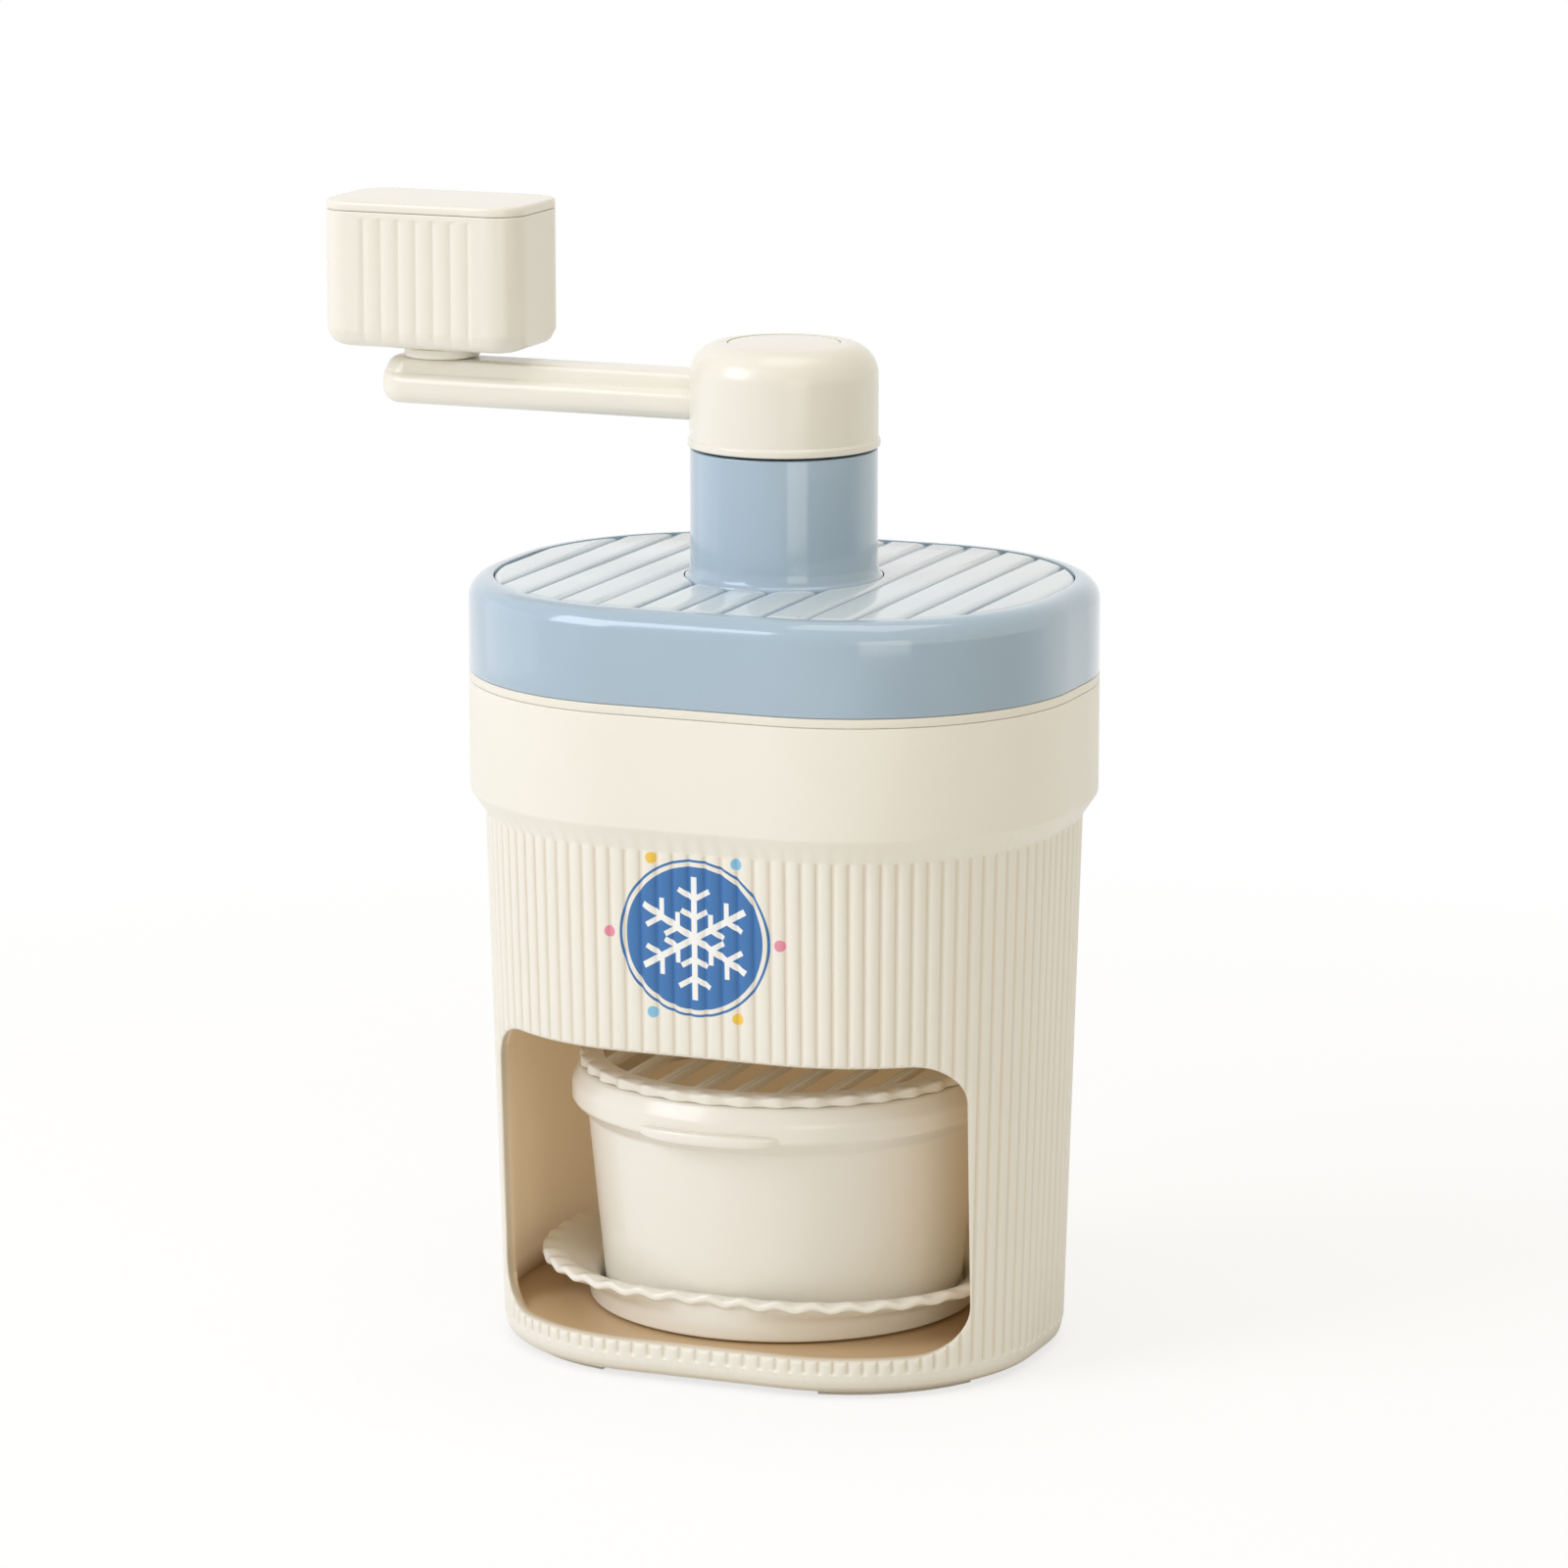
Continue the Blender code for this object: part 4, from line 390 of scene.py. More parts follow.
slim = put(tree, MATH, {0: arm_v, 1: FLAKE_HALF}, operation="LESS_THAN")
short = put(tree, MATH, {0: arm_u, 1: FLAKE_REACH}, operation="LESS_THAN")
flake = put(tree, MATH, {0: slim, 1: short}, operation="MULTIPLY")
for start, length in BRANCHES:
    moved = put(tree, VECTOR_MATH, {0: sector, 1: (start, 0, 0)}, operation="SUBTRACT")
    along = put(tree, VECTOR_MATH, {0: moved, 1: (0.5, 0.866, 0)}, operation="DOT_PRODUCT")
    aside = put(tree, VECTOR_MATH, {0: moved, 1: (0.866, -0.5, 0)}, operation="DOT_PRODUCT")
    within = put(tree, MATH, {0: along, 1: length / 2, 2: length / 2}, operation="COMPARE")
    narrow = put(tree, MATH, {0: aside, 1: 0.0, 2: BRANCH_HALF}, operation="COMPARE")
    branch = put(tree, MATH, {0: within, 1: narrow}, operation="MULTIPLY")
    flake = put(tree, MATH, {0: flake, 1: branch}, operation="MAXIMUM")
disc = put(tree, MATH, {0: reach, 1: DISC_RADIUS}, operation="LESS_THAN")
band = put(tree, MATH, {0: reach, 1: BORDER_RADIUS, 2: BORDER_HALF}, operation="COMPARE")
far = put(tree, VECTOR_MATH, {0: sector, 1: DOT_PLACE}, operation="DISTANCE")
dots = put(tree, MATH, {0: far, 1: DOT_RADIUS}, operation="LESS_THAN")
blue_part = put(tree, MATH, {0: disc, 1: band}, operation="MAXIMUM")
inked = put(tree, MATH, {0: blue_part, 1: dots}, operation="MAXIMUM")
front = put(tree, MATH, {0: depth, 1: -40.0}, operation="LESS_THAN")
inked = put(tree, MATH, {0: inked, 1: front}, operation="MULTIPLY")

# How far a place stands in behind the crowns of the ribs, from its distance to the plan's corners.
moved = put(tree, VECTOR_MATH, {0: flat_place}, operation="ABSOLUTE")
corner = (BODY[0] / 2 - BODY[2], BODY[1] / 2 - BODY[2], 0)
moved = put(tree, VECTOR_MATH, {0: moved, 1: corner}, operation="SUBTRACT")
moved = put(tree, VECTOR_MATH, {0: moved, 1: (0, 0, 0)}, operation="MAXIMUM")
moved = put(tree, VECTOR_MATH, {0: moved}, operation="LENGTH")
inset = put(tree, MATH, {0: BODY[2], 1: moved}, operation="SUBTRACT")
taper = put(tree, MATH, {0: height, 1: -DRAFT, 2: wall_inset(0)}, operation="MULTIPLY_ADD")
behind = put(tree, MATH, {0: inset, 1: taper}, operation="SUBTRACT")
crown = put(tree, MATH, {0: behind, 1: 0.6}, operation="LESS_THAN")
inked = put(tree, MATH, {0: inked, 1: crown}, operation="MULTIPLY")
share = put(tree, MATH, {0: turn, 1: 1 / math.pi}, operation="MULTIPLY")
share = put(tree, MATH, {0: share}, operation="FRACT")
dot_ramp = put(tree, "ShaderNodeValToRGB", {0: share})
dot_ramp.color_ramp.interpolation = "CONSTANT"
for place, colour in ((0.0, "#F0C94F"), (1 / 3, "#E893AA"), (2 / 3, "#86C3E2")):
    stop = dot_ramp.color_ramp.elements[0] if place == 0 else dot_ramp.color_ramp.elements.new(place)
    stop.color = tone(colour)
ink = put(tree, MIX, {0: flake, 6: tone("#3B74B2"), 7: tone("#F3F4F1")}, data_type="RGBA")
ink = put(tree, MIX, {0: dots, 6: ink, 7: dot_ramp}, data_type="RGBA")
# Painted shade: the grooves between the ribs are darkened towards #DBD1BE, more the further they stand in
# behind the crowns, on the ribbed part only.
groove_shade = put(tree, RANGE, {"Value": behind, "From Min": 0.2, "From Max": 0.75})
ribbed = put(tree, MATH, {0: height, 1: RIB_TOP - 0.4}, operation="LESS_THAN")
groove_shade = put(tree, MATH, {0: groove_shade, 1: ribbed}, operation="MULTIPLY")
shaded = put(tree, MIX, {0: groove_shade, 6: bare, 7: tone("#DBD1BE")}, data_type="RGBA")
printed = put(tree, MIX, {0: inked, 6: shaded, 7: ink}, data_type="RGBA")

# The room behind the wall is painted light: a warm tan tone and a faint warm emission, painted bounce light
# that stands in for light passing to and fro in the thin wall, and a darker tan on its floor, painted shade.
room = put(tree, RANGE, {"Value": behind, "From Min": 1.2, "From Max": 2.5}, interpolation_type="SMOOTHSTEP")
above = put(tree, MATH, {0: height, 1: 6.0}, operation="GREATER_THAN")
inside = put(tree, MATH, {0: room, 1: above}, operation="MULTIPLY")
# Painted shade: the room's floor, below 12 mm, is a darker tan and gets no glow.
low = put(tree, RANGE, {"Value": height, "From Min": 7.6, "From Max": 12.0})
painted_bounce_tone = put(tree, MIX, {0: low, 6: tone("#C9AC84"), 7: tone("#E4D3B6")}, data_type="RGBA")
skin = put(tree, MIX, {0: inside, 6: printed, 7: painted_bounce_tone}, data_type="RGBA")
glow = put(tree, MATH, {0: inside, 1: low}, operation="MULTIPLY")
feed(shader, {"Base Color": skin, "Emission Color": tone("#FFDFB4"),
              "Emission Strength": put(tree, MATH, {0: glow, 1: 0.15}, operation="MULTIPLY")})
piece(housing, "housing", shell_cream, "housing")


# ---- Base plate, feet and screws -----------------------------------------------------
# A flat cream plate closes the housing from below. Four soft pads sit in its corners, and four pan head
# screws go up into bosses under the floor.
def dress(paint, *names):
    """Gives CAD nodes that keep their shape a better material."""
    for name in names:
        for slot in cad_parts[name].material_slots:
            slot.material = paint


# Cream ABS for what isn't printed: the same plastic, a little glossier where the tool was polished more.
cream = moulded("cream ABS", "#EDEAE0", "#EBE7DA", 0.33)
dress(cream, "base_plate")

# Elastomer pads: matt and a little darker, with a fine eroded skin.
soft_pad = moulded("elastomer", "#E6E0D2", "#E0DACB", 0.62, peel=0.4, relief=0.06)
dress(soft_pad, "foot_front_left", "foot_front_right", "foot_rear_left", "foot_rear_right")


def steel(name, colour, roughness, stretch, relief):
    """A bare steel whose tool marks are noise, drawn out along the axes where stretch is small."""
    paint = bpy.data.materials.new(name)
    tree, shader, place = opened(paint)
    drawn = put(tree, "ShaderNodeMapping", {"Vector": place, "Scale": stretch})
    marks = put(tree, NOISE, {"Vector": drawn, "Scale": 1 / (0.5 * MM), "Detail": 3.0})
    gloss = {"Value": marks, "To Min": roughness - 0.08, "To Max": roughness + 0.08}
    feed(shader, {
        "Base Color": put(tree, MIX, {0: marks, 6: tone(colour), 7: tone("#D6D6D8")}, data_type="RGBA"),
        "Roughness": put(tree, RANGE, gloss),
        "Normal": put(tree, "ShaderNodeBump", {"Height": marks, "Strength": 0.3, "Distance": relief * MM}),
        "Metallic": 1.0})
    return paint


# Zinc plated steel screws: bright, with the soft sparkle of a barrel plated finish.
plated = steel("zinc plated steel", "#B9BABC", 0.3, (1, 1, 1), 0.02)

# Repeats: copies of a part stand on the points of a mesh, each turned by its spin and stretched along Y.
set_out, given = shape_tree("set_out", Part="Object")
part = put(set_out, "GeometryNodeObjectInfo", {"Object": given["Part"]}).outputs["Geometry"]
spin, stretch = (put(set_out, "GeometryNodeInputNamedAttribute", {"Name": key}, data_type="FLOAT")
                 for key in ("spin", "stretch"))
turned_by = put(set_out, "FunctionNodeEulerToRotation", {0: put(set_out, COMBINE, {2: spin})})
scaled_by = put(set_out, COMBINE, {0: 1.0, 1: stretch, 2: 1.0})
copies = put(set_out, "GeometryNodeInstanceOnPoints", {
    "Points": given["Geometry"], "Instance": part, "Rotation": turned_by, "Scale": scaled_by})
end_tree(set_out, copies, given)


def repeat(name, part, places, paint, spin=0.0, stretch=1.0):
    """Copies of a part at these places as one mesh. The part itself is removed."""
    mesh = bpy.data.meshes.new(name)
    mesh.from_pydata((np.array(places, float) * MM).tolist(), [], [])
    for key, value in (("spin", spin), ("stretch", stretch)):
        layer = mesh.attributes.new(key, "FLOAT", "POINT")
        layer.data.foreach_set("value", np.ravel(np.broadcast_to(value, len(places))).astype(float))
    thing = stand(name, mesh)
    grow(thing, set_out, Part=part, Material=paint)
    bpy.data.objects.remove(part, do_unlink=True)
    return thing


def block(size, centre=(0, 0, 0), tilt=0.0):
    """A rectangular block, tilted about X at its centre."""
    mesh = bpy.data.meshes.new("block")
    work = bmesh.new()
    place = Matrix.Translation(Vector(centre) * MM) @ Matrix.Rotation(tilt, 4, "X")
    bmesh.ops.create_cube(work, size=1, matrix=place @ Matrix.Diagonal((*(Vector(size) * MM), 1)))
    work.to_mesh(mesh)
    work.free()
    return stand("block", mesh)


def lofted(name, plan, rows, reach, loop=False, steps=4):
    """A shape through the eased rings of rows on a plan."""
    return form(name, soften(stack(plan, *rows), reach, loop, steps), loop)


def turned(name, profile, sides=96, loop=False, reach=0.3):
    """A turned shape from (radius, height) pairs that run up its outside."""
    return lofted(name, oval(2, 2, 1, sides), [(circle, r, z) for r, z in profile], reach, loop)


def pan_screw(shank, head, height, length, turn_over):
    """A pan head screw with a cross recess, the underside of its head at the origin."""
    profile = [(0.3 * shank, -length), (shank, 0.9 * shank - length), (shank, 0), (head, 0),
               (head, 0.5 * height), (0.62 * head, height), (0.3 * head, height)]
    screw = turned("screw", profile, 32, reach=0.25)
    wide, narrow = 1.25 * head, 0.3 * head
    for size in ((wide, narrow, 1.2 * height), (narrow, wide, 1.2 * height)):
        carve(screw, block(size, (0, 0, height)))
    if turn_over:
        screw.data.transform(Matrix.Rotation(math.pi, 4, "X"))
    return screw


base_places = [(x, y, 0.9) for y in (-20, 20) for x in (-36, 36)]
base_screws = repeat("base_screw_set", pan_screw(1.3, 2.7, 0.9, 3.4, True), base_places, plated)
piece(base_screws, "housing", plated, "base_screw_1", "base_screw_2", "base_screw_3", "base_screw_4")


# ---- Ice hopper ----------------------------------------------------------------------
# A round tub of cream ABS that hangs in the housing from an oval flange; the flange's edge shows as a thin
# lip under the lid. Its deck has the blade's pocket and the slot that the shaved ice falls through.
hopper_plan = oval(*BODY, 320)
TUB = 42.01
TUB_OUTSIDE = TUB + 2.2
TUB_FOOT = 74.7
TUB_FLOOR = 78.4
FLANGE_FOOT = 140.4
FLANGE_TOP = 142.3
SKIRT = (2.9, 5.7)
SKIRT_FOOT = 133.4
hopper = lofted("hopper_moulding", hopper_plan, (
    (circle, TUB_OUTSIDE, TUB_FOOT), (circle, TUB_OUTSIDE, SKIRT_FOOT), (ring, SKIRT[0], SKIRT_FOOT),
    (ring, SKIRT[0], FLANGE_FOOT), (ring, 0, FLANGE_FOOT, 0.3), (ring, 0, FLANGE_TOP, 0.3),
    (ring, SKIRT[1], FLANGE_TOP), (ring, SKIRT[1], 135.4, 1.0), (circle, TUB, 135.4, 1.0),
    (circle, TUB, TUB_FLOOR)), 0.5)
BLADE = (22.0, 7.0, 78.2)
BLADE_TILT = math.radians(-6)
BLADE_SCREWS = (-11, 11)
blade_centre = Vector(BLADE)
pocket_centre = (BLADE[0], BLADE[1] - 1.2 * math.sin(BLADE_TILT), BLADE[2] + 1.2)
pocket = block((34.6, 17.6, 4.0), pocket_centre, BLADE_TILT)
ice_slot = block((34.6, 6.0, 14.8), (BLADE[0], -3.453, 76.55))
carve(hopper, pocket, ice_slot)
for x in BLADE_SCREWS:
    hole = turned("hole", [(1.5, -8.0), (1.5, 3.0)], 32)
    hole.data.transform(Matrix.Translation((blade_centre + Vector((x, 2.5, 0))) * MM)
                        @ Matrix.Rotation(BLADE_TILT, 4, "X"))
    carve(hopper, hole)
piece(hopper, "hopper", cream, "ice_hopper")


# ---- Blade ---------------------------------------------------------------------------
# A strip of hardened steel with a ground bevel, tilted in its pocket so that its edge stands over the slot.
# Grinding leaves fine parallel lines across it, and two screws hold it.
ground = steel("ground stainless steel", "#A9ABAE", 0.22, (1, 0.04, 1), 0.015)
dress(ground, "blade")
blade_screws = repeat("blade_screw_set", pan_screw(1.2, 2.8, 0.8, 3.7, False),
                      [(x, 2.5, 0.8) for x in BLADE_SCREWS], plated)
blade_screws.data.transform(Matrix.Translation(blade_centre * MM) @ Matrix.Rotation(BLADE_TILT, 4, "X"))
piece(blade_screws, "hopper", plated, "blade_screw_1", "blade_screw_2")


# ---- Lid cover -----------------------------------------------------------------------
# A pale blue high gloss ABS shell with a rolled upper edge, a sunk deck for the fluted panel, and the tower
# that carries the crank, all one moulding.
lid_plan = oval(*BODY, 320)
LID_FOOT = 142.4
LID_TOP = 161.6
LID_ROUND = 4.4
DECK = 159.4
BORDER = 5.2
TOWER = (17.3, 19.5)
TOWER_TOP = 188.3
ROOF_UNDER = 185.3
BUSH_BORE = 6.3
LINER_SEAT = 157.2
gloss_blue = moulded("high gloss blue ABS", "#A8BDCE", "#A3B9CA", 0.15, coat=0.6, peel=2.5, relief=0.012)
lid_rings = stack(lid_plan, (ring, WALL, LID_FOOT), (ring, 0, LID_FOOT, 0.25))
for k in range(9):
    bend = math.pi / 2 * k / 8
    inset, rise = LID_ROUND - LID_ROUND * math.cos(bend), LID_ROUND * math.sin(bend)
    lid_rings.append((ring(lid_plan, inset, LID_TOP - LID_ROUND + rise), 0))
lid_rings += stack(
    lid_plan, (ring, BORDER, LID_TOP, 0.12), (ring, BORDER, DECK), (circle, 20.7, DECK, 0.3),
    (circle, 20.7, 161.7, 0.7), (circle, 19.9, 162.3, 0.7), (circle, TOWER[1], 164.2, 0.7),
    (circle, TOWER[1], TOWER_TOP, 0.3), (circle, BUSH_BORE, TOWER_TOP, 0.3),
    (circle, BUSH_BORE, ROOF_UNDER, 0.3), (circle, TOWER[0], ROOF_UNDER, 0.3),
    (circle, TOWER[0], LINER_SEAT, 0.3), (ring, WALL, LINER_SEAT))
lid = form("lid_moulding", soften(lid_rings, 0.35, loop=True), loop=True)
piece(lid, "lid", gloss_blue, "lid_cover")


# ---- Lid panel -----------------------------------------------------------------------
# A separate fluted inlay of a paler, slightly milky plastic, dropped into the deck round the tower. Its
# broad beads run from front to back, and its border is rounded off.
panel_blue = moulded("milky blue styrene", "#D3DDE2", "#CCD8DE", 0.16, coat=0.5, peel=2.5, relief=0.012)
PANEL = (119.4, 95.4, 42.7)
FLUTES = 13
FLUTE_DEPTH = 0.9
FLUTE_WIDTH = PANEL[0] / FLUTES
HALF_PANEL = PANEL[0] / 2
columns = np.linspace(-HALF_PANEL - 1, HALF_PANEL + 1, FLUTES * 14 + 1)
section = ((-52, 159.7), (52, 159.7), (52, 161.7), (-52, 161.7))
slab_rings = [np.array([(x, y, z) for y, z in section]) for x in columns]
upper_share = np.array([[0.0, 0.0, 1.0, 1.0]] * len(columns))
panel = form("fluted_panel", slab_rings, marks=(np.zeros(4), upper_share, np.array([(0, 0, 1.0)] * 4)))
layer = np.zeros(len(panel.data.vertices))
layer[:4 * len(columns)] = np.repeat(columns + HALF_PANEL + PANEL[0], 4) * MM
panel.data.attributes["walk"].data.foreach_set("value", layer)
grow(panel, flutes, Pitch=FLUTE_WIDTH * MM, Depth=FLUTE_DEPTH * MM, Roundness=5.0, Material=panel_blue)
panel_plan = oval(*PANEL, 320)
puck = form("puck", [ring(panel_plan, inset, z) for inset, z in (
    (0, 159.0), (0, 160.6), (0.12, 160.95), (0.45, 161.3), (1.0, 161.58), (1.8, 161.74), (3.0, 161.8),
    (3.0, 163.0))])
carve(panel, puck, operation="INTERSECT")
carve(panel, turned("tower_hole", [(20.85, 158.0), (20.85, 164.0)], 160, reach=0))
# Painted shade: the grooves between the beads are darkened towards a deeper blue than their crowns.
tree, shader, place = opened(panel_blue)
bare = shader.inputs["Base Color"].links[0].from_socket
across = put(tree, "ShaderNodeSeparateXYZ", {0: place})
per_metre = FLUTES / (PANEL[0] * MM)
phase = put(tree, MATH, {0: across, 1: per_metre, 2: FLUTES / 2 + FLUTES}, operation="MULTIPLY_ADD")
phase = put(tree, MATH, {0: phase, 1: 0.5}, operation="PINGPONG")
deep = put(tree, RANGE, {"Value": phase, "From Min": 0.1, "From Max": 0.0}, interpolation_type="SMOOTHSTEP")
toned = put(tree, MIX, {0: deep, 6: bare, 7: tone("#8196A8")}, data_type="RGBA")
feed(shader, {"Base Color": toned})
piece(panel, "lid", panel_blue, "lid_panel")


# ---- Lid liner, its screws and the seal ----------------------------------------------
# The inner half of the lid: a cream plate with a skirt that guides it in the hopper's mouth and a hub for
# the lower bush. Three screws hold it, and a soft ring beds it on the hopper's flange.
liner_plan = oval(*BODY, 240)
LINER_HUB = 8.3
PLATE_FOOT = 143.9
PLATE_TOP = 145.7
PLATE_INSET = 2.9
GUIDE = (6.0, 7.8)
GUIDE_FOOT = 135.6
liner = lofted("liner_moulding", liner_plan, (
    (circle, BUSH_BORE, 138.9), (circle, LINER_HUB, 138.9), (circle, LINER_HUB, PLATE_FOOT),
    (ring, GUIDE[1], PLATE_FOOT), (ring, GUIDE[1], GUIDE_FOOT), (ring, GUIDE[0], GUIDE_FOOT),
    (ring, GUIDE[0], PLATE_FOOT), (ring, PLATE_INSET, PLATE_FOOT), (ring, PLATE_INSET, PLATE_TOP),
    (circle, LINER_HUB, PLATE_TOP), (circle, LINER_HUB, 150.7), (circle, BUSH_BORE, 150.7)),
    0.4, loop=True)


def shift(thing, x=0.0, y=0.0, z=0.0):
    """Moves the points of a thing, by metres."""
    thing.data.transform(Matrix.Translation((x, y, z)))


SCREW_CIRCLE = 33
screw_turns = [math.radians(90 + 120 * k) for k in range(3)]
for turn in screw_turns:
    hole = turned("hole", [(1.6, 142.0), (1.6, 147.0)], 32)
    shift(hole, SCREW_CIRCLE * MM * math.cos(turn), SCREW_CIRCLE * MM * math.sin(turn))
    carve(liner, hole)
piece(liner, "lid", cream, "lid_liner")
liner_places = [
    (SCREW_CIRCLE * math.cos(turn), SCREW_CIRCLE * math.sin(turn), 143.6) for turn in screw_turns]
liner_screws = repeat("liner_screw_set", pan_screw(1.3, 2.7, 0.9, 5.2, True), liner_places, plated)
piece(liner_screws, "lid", plated, "liner_screw_1", "liner_screw_2", "liner_screw_3")
seal = lofted("seal_ring", liner_plan, (
    (ring, 5.1, 142.4), (ring, PLATE_INSET, 142.4), (ring, PLATE_INSET, 143.6), (ring, 5.1, 143.6)),
    0.4, loop=True)
piece(seal, "lid", soft_pad, "lid_seal")


# ---- Bushes --------------------------------------------------------------------------
# Two flanged sleeves of white acetal, which carry the shaft in the tower's roof and in the liner's hub.
# Acetal is waxy and a little translucent, so it looks whiter and softer than the ABS round it.
acetal = moulded("white acetal", "#F0EFEA", "#ECEBE5", 0.4)
upper_bush = [(4.3, 180.1), (6.0, 180.1), (6.0, 188.6), (8.4, 188.6), (8.4, 189.5), (4.3, 189.5)]
lower_bush = [(4.3, 137.7), (8.4, 137.7), (8.4, 138.6), (6.0, 138.6), (6.0, 147.1), (4.3, 147.1)]
piece(turned("tower_bush", upper_bush, loop=True, reach=0.2), "lid", acetal, "bush_upper")
piece(turned("liner_bush", lower_bush, loop=True, reach=0.2), "lid", acetal, "bush_lower")


# ---- Drive shaft and its fasteners ---------------------------------------------------
# A bright steel bar, turned round for the bushes and milled square at both ends. The top screw and washer
# clamp the crank, and the bottom ones stop the presser from sliding off.
bright = steel("bright drawn steel", "#B2B3B6", 0.24, (1, 1, 0.05), 0.01)
shaft = turned("shaft_bar", [(4.0, 131.0), (4.0, 189.8)])
carve(shaft, block((7.0, 7.0, 46.3), (0, 0, 108.85)), block((5.6, 5.6, 14.2), (0, 0, 195.9)),
      operation="UNION")
piece(shaft, "crank", bright, "drive_shaft")
dress(plated, "shaft_washer", "shaft_screw", "presser_washer", "presser_screw")
piece(turned("seat_ring", [(4.3, 136.2), (8.4, 136.2), (8.4, 137.4), (4.3, 137.4)], loop=True, reach=0.2),
      "crank", plated, "spring_seat")


# ---- Crank and its disc --------------------------------------------------------------
# The cap that turns over the tower and the arm are one cream moulding, with a hub inside for the shaft's
# square. The arm has a fine step along both sides, and a disc plugs the screw's hole in the cap.
glossy_cream = moulded("polished cream ABS", "#EDEAE0", "#EBE7DA", 0.24, coat=0.15, peel=1.8, relief=0.012)
crank_plan = oval(2, 2, 1, 160)
CAP_ROUND = 6.7
CAP_SHOULDER = 203.6
cap = [(7, 189.8), (7, 203.3), (15.7, 203.3), (17.2, 201.8), (17.2, 188.9), (20, 188.9), (20, 190.3),
       (19.6, 190.7)]
cap_rings = soften([circle(crank_plan, r, z) for r, z in cap], 0.35)
for k in range(13):
    bend = math.pi / 2 * k / 12
    radius, rise = 12.9 + CAP_ROUND * math.cos(bend), CAP_ROUND * math.sin(bend)
    cap_rings.append(circle(crank_plan, radius, CAP_SHOULDER + rise))
crank = form("crank_moulding", cap_rings)
ARM_FOOT = 193.5
ARM_START = -17.92
ARM_CENTRE = -83.6
ARM_HALF = 7.0
PIN_X = -77.5


def arm_ring(inset, tip, z):
    """The arm's outline at a height: from inside the cap's wall to its round end, drawn in by tip there."""
    bend = np.linspace(math.pi / 2, 3 * math.pi / 2, 41)
    width = ARM_HALF - inset - (tip - inset) * np.abs(np.cos(bend)) ** 0.6
    end = np.column_stack([ARM_CENTRE + width * np.cos(bend), width * np.sin(bend)])
    flat = np.vstack([[(ARM_START, inset - ARM_HALF), (ARM_START, 0), (ARM_START, ARM_HALF - inset)], end])
    return np.column_stack([flat, np.full(len(flat), ARM_FOOT + z)])


arm_rings = [arm_ring(inset, tip, z) for inset, tip, z in (
    (3.0, 3.0, 0), (1.9, 1.9, 0.2), (0.9, 0.9, 0.85), (0.2, 0.25, 1.9), (0, 0, 3.0), (0, 0, 4.5),
    (0.15, 0.05, 5.3), (0.6, 0.2, 6.0), (1.2, 0.32, 6.4), (1.9, 0.38, 6.55), (2.05, 0.45, 6.75),
    (2.1, 1.5, 8.7), (2.4, 2.2, 9.4), (3.1, 3.2, 9.8))]
carve(crank, form("arm", arm_rings), operation="UNION")
screw_seat = [(2.2, 202.0), (2.2, 205.0), (4.9, 205.0), (4.9, 208.4), (11.8, 208.4), (11.8, 211.3)]
carve(crank, block((6.2, 6.2, 14.5), (0, 0, 196.05)), turned("screw_seat", screw_seat, 128, reach=0))
pin_seat = turned("pin_seat", [(4.3, 192.5), (4.3, 195.7), (2.6, 195.7), (2.6, 204.3)], 64, reach=0)
shift(pin_seat, PIN_X * MM)
carve(crank, pin_seat)
piece(crank, "crank", glossy_cream, "crank")
cap_disc = turned("cap_disc", [(11.2, 208.7), (11.7, 208.7), (11.7, 210.2), (10.5, 210.3)], 128, reach=0.4)
piece(cap_disc, "crank", glossy_cream, "crank_disc")


# ---- Grip ----------------------------------------------------------------------------
# A hollow cream block with low round ribs on both broad faces. It turns on a steel pin through the arm's
# end, on a plain disc, and a cover closes it on top, which leaves a fine seam.
GRIP = (45.5, 27.0, 7.0)
GRIP_FOOT = 205.9
GRIP_TOP = 28.8
PIN_BORE = 2.6
RIBBED_HALF = 12.0
RIBS_END = 13.2
grip_plan = oval(*GRIP, 400)
grip_rings = soften(stack(grip_plan, (circle, PIN_BORE, 0), (ring, 3.8, 0), (ring, 1.3, 0.75, 1.2),
                          (ring, 0, 3.4)), 0.8)
grip_shares = [float(np.clip((here[0, 2] - 0.9) / 3.2, 0, 1)) for here in grip_rings]
for z, share in ((4.1, 1.0), (8.0, 1.0), (15.0, 1.0), (26.6, 1.0), (27.1, 0.8), (27.4, 0.4), (27.6, 0.0)):
    grip_rings.append(ring(grip_plan, 0, z))
    grip_shares.append(share)
inside = soften(stack(
    grip_plan, (ring, 0, 27.9), (ring, 0, GRIP_TOP), (ring, 2.0, GRIP_TOP), (ring, 2.0, 5.0),
    (ring, 3.4, 3.0), (circle, 4.8, 3.0), (circle, 4.8, 12.0), (circle, PIN_BORE, 12.0),
    (circle, PIN_BORE, 0.1)), 0.3)
grip_rings += inside
grip_shares += [0.0] * len(inside)
walk = grip_plan[0][:, 0]
broad = np.clip(RIBS_END - np.abs(walk), 0, 1) * (np.abs(grip_plan[1][:, 1]) > 0.999)
shares = np.array(grip_shares)[:, None] * broad
faced = np.column_stack([grip_plan[1], np.zeros(len(walk))])
grip = form("grip_moulding", grip_rings, loop=True, marks=(walk + RIBBED_HALF, shares, faced))
grow(grip, flutes, Pitch=4 * MM, Depth=0.5 * MM, Roundness=2.2, Material=glossy_cream)
shift(grip, PIN_X * MM, z=GRIP_FOOT * MM)
piece(grip, "grip", glossy_cream, "grip_shell")
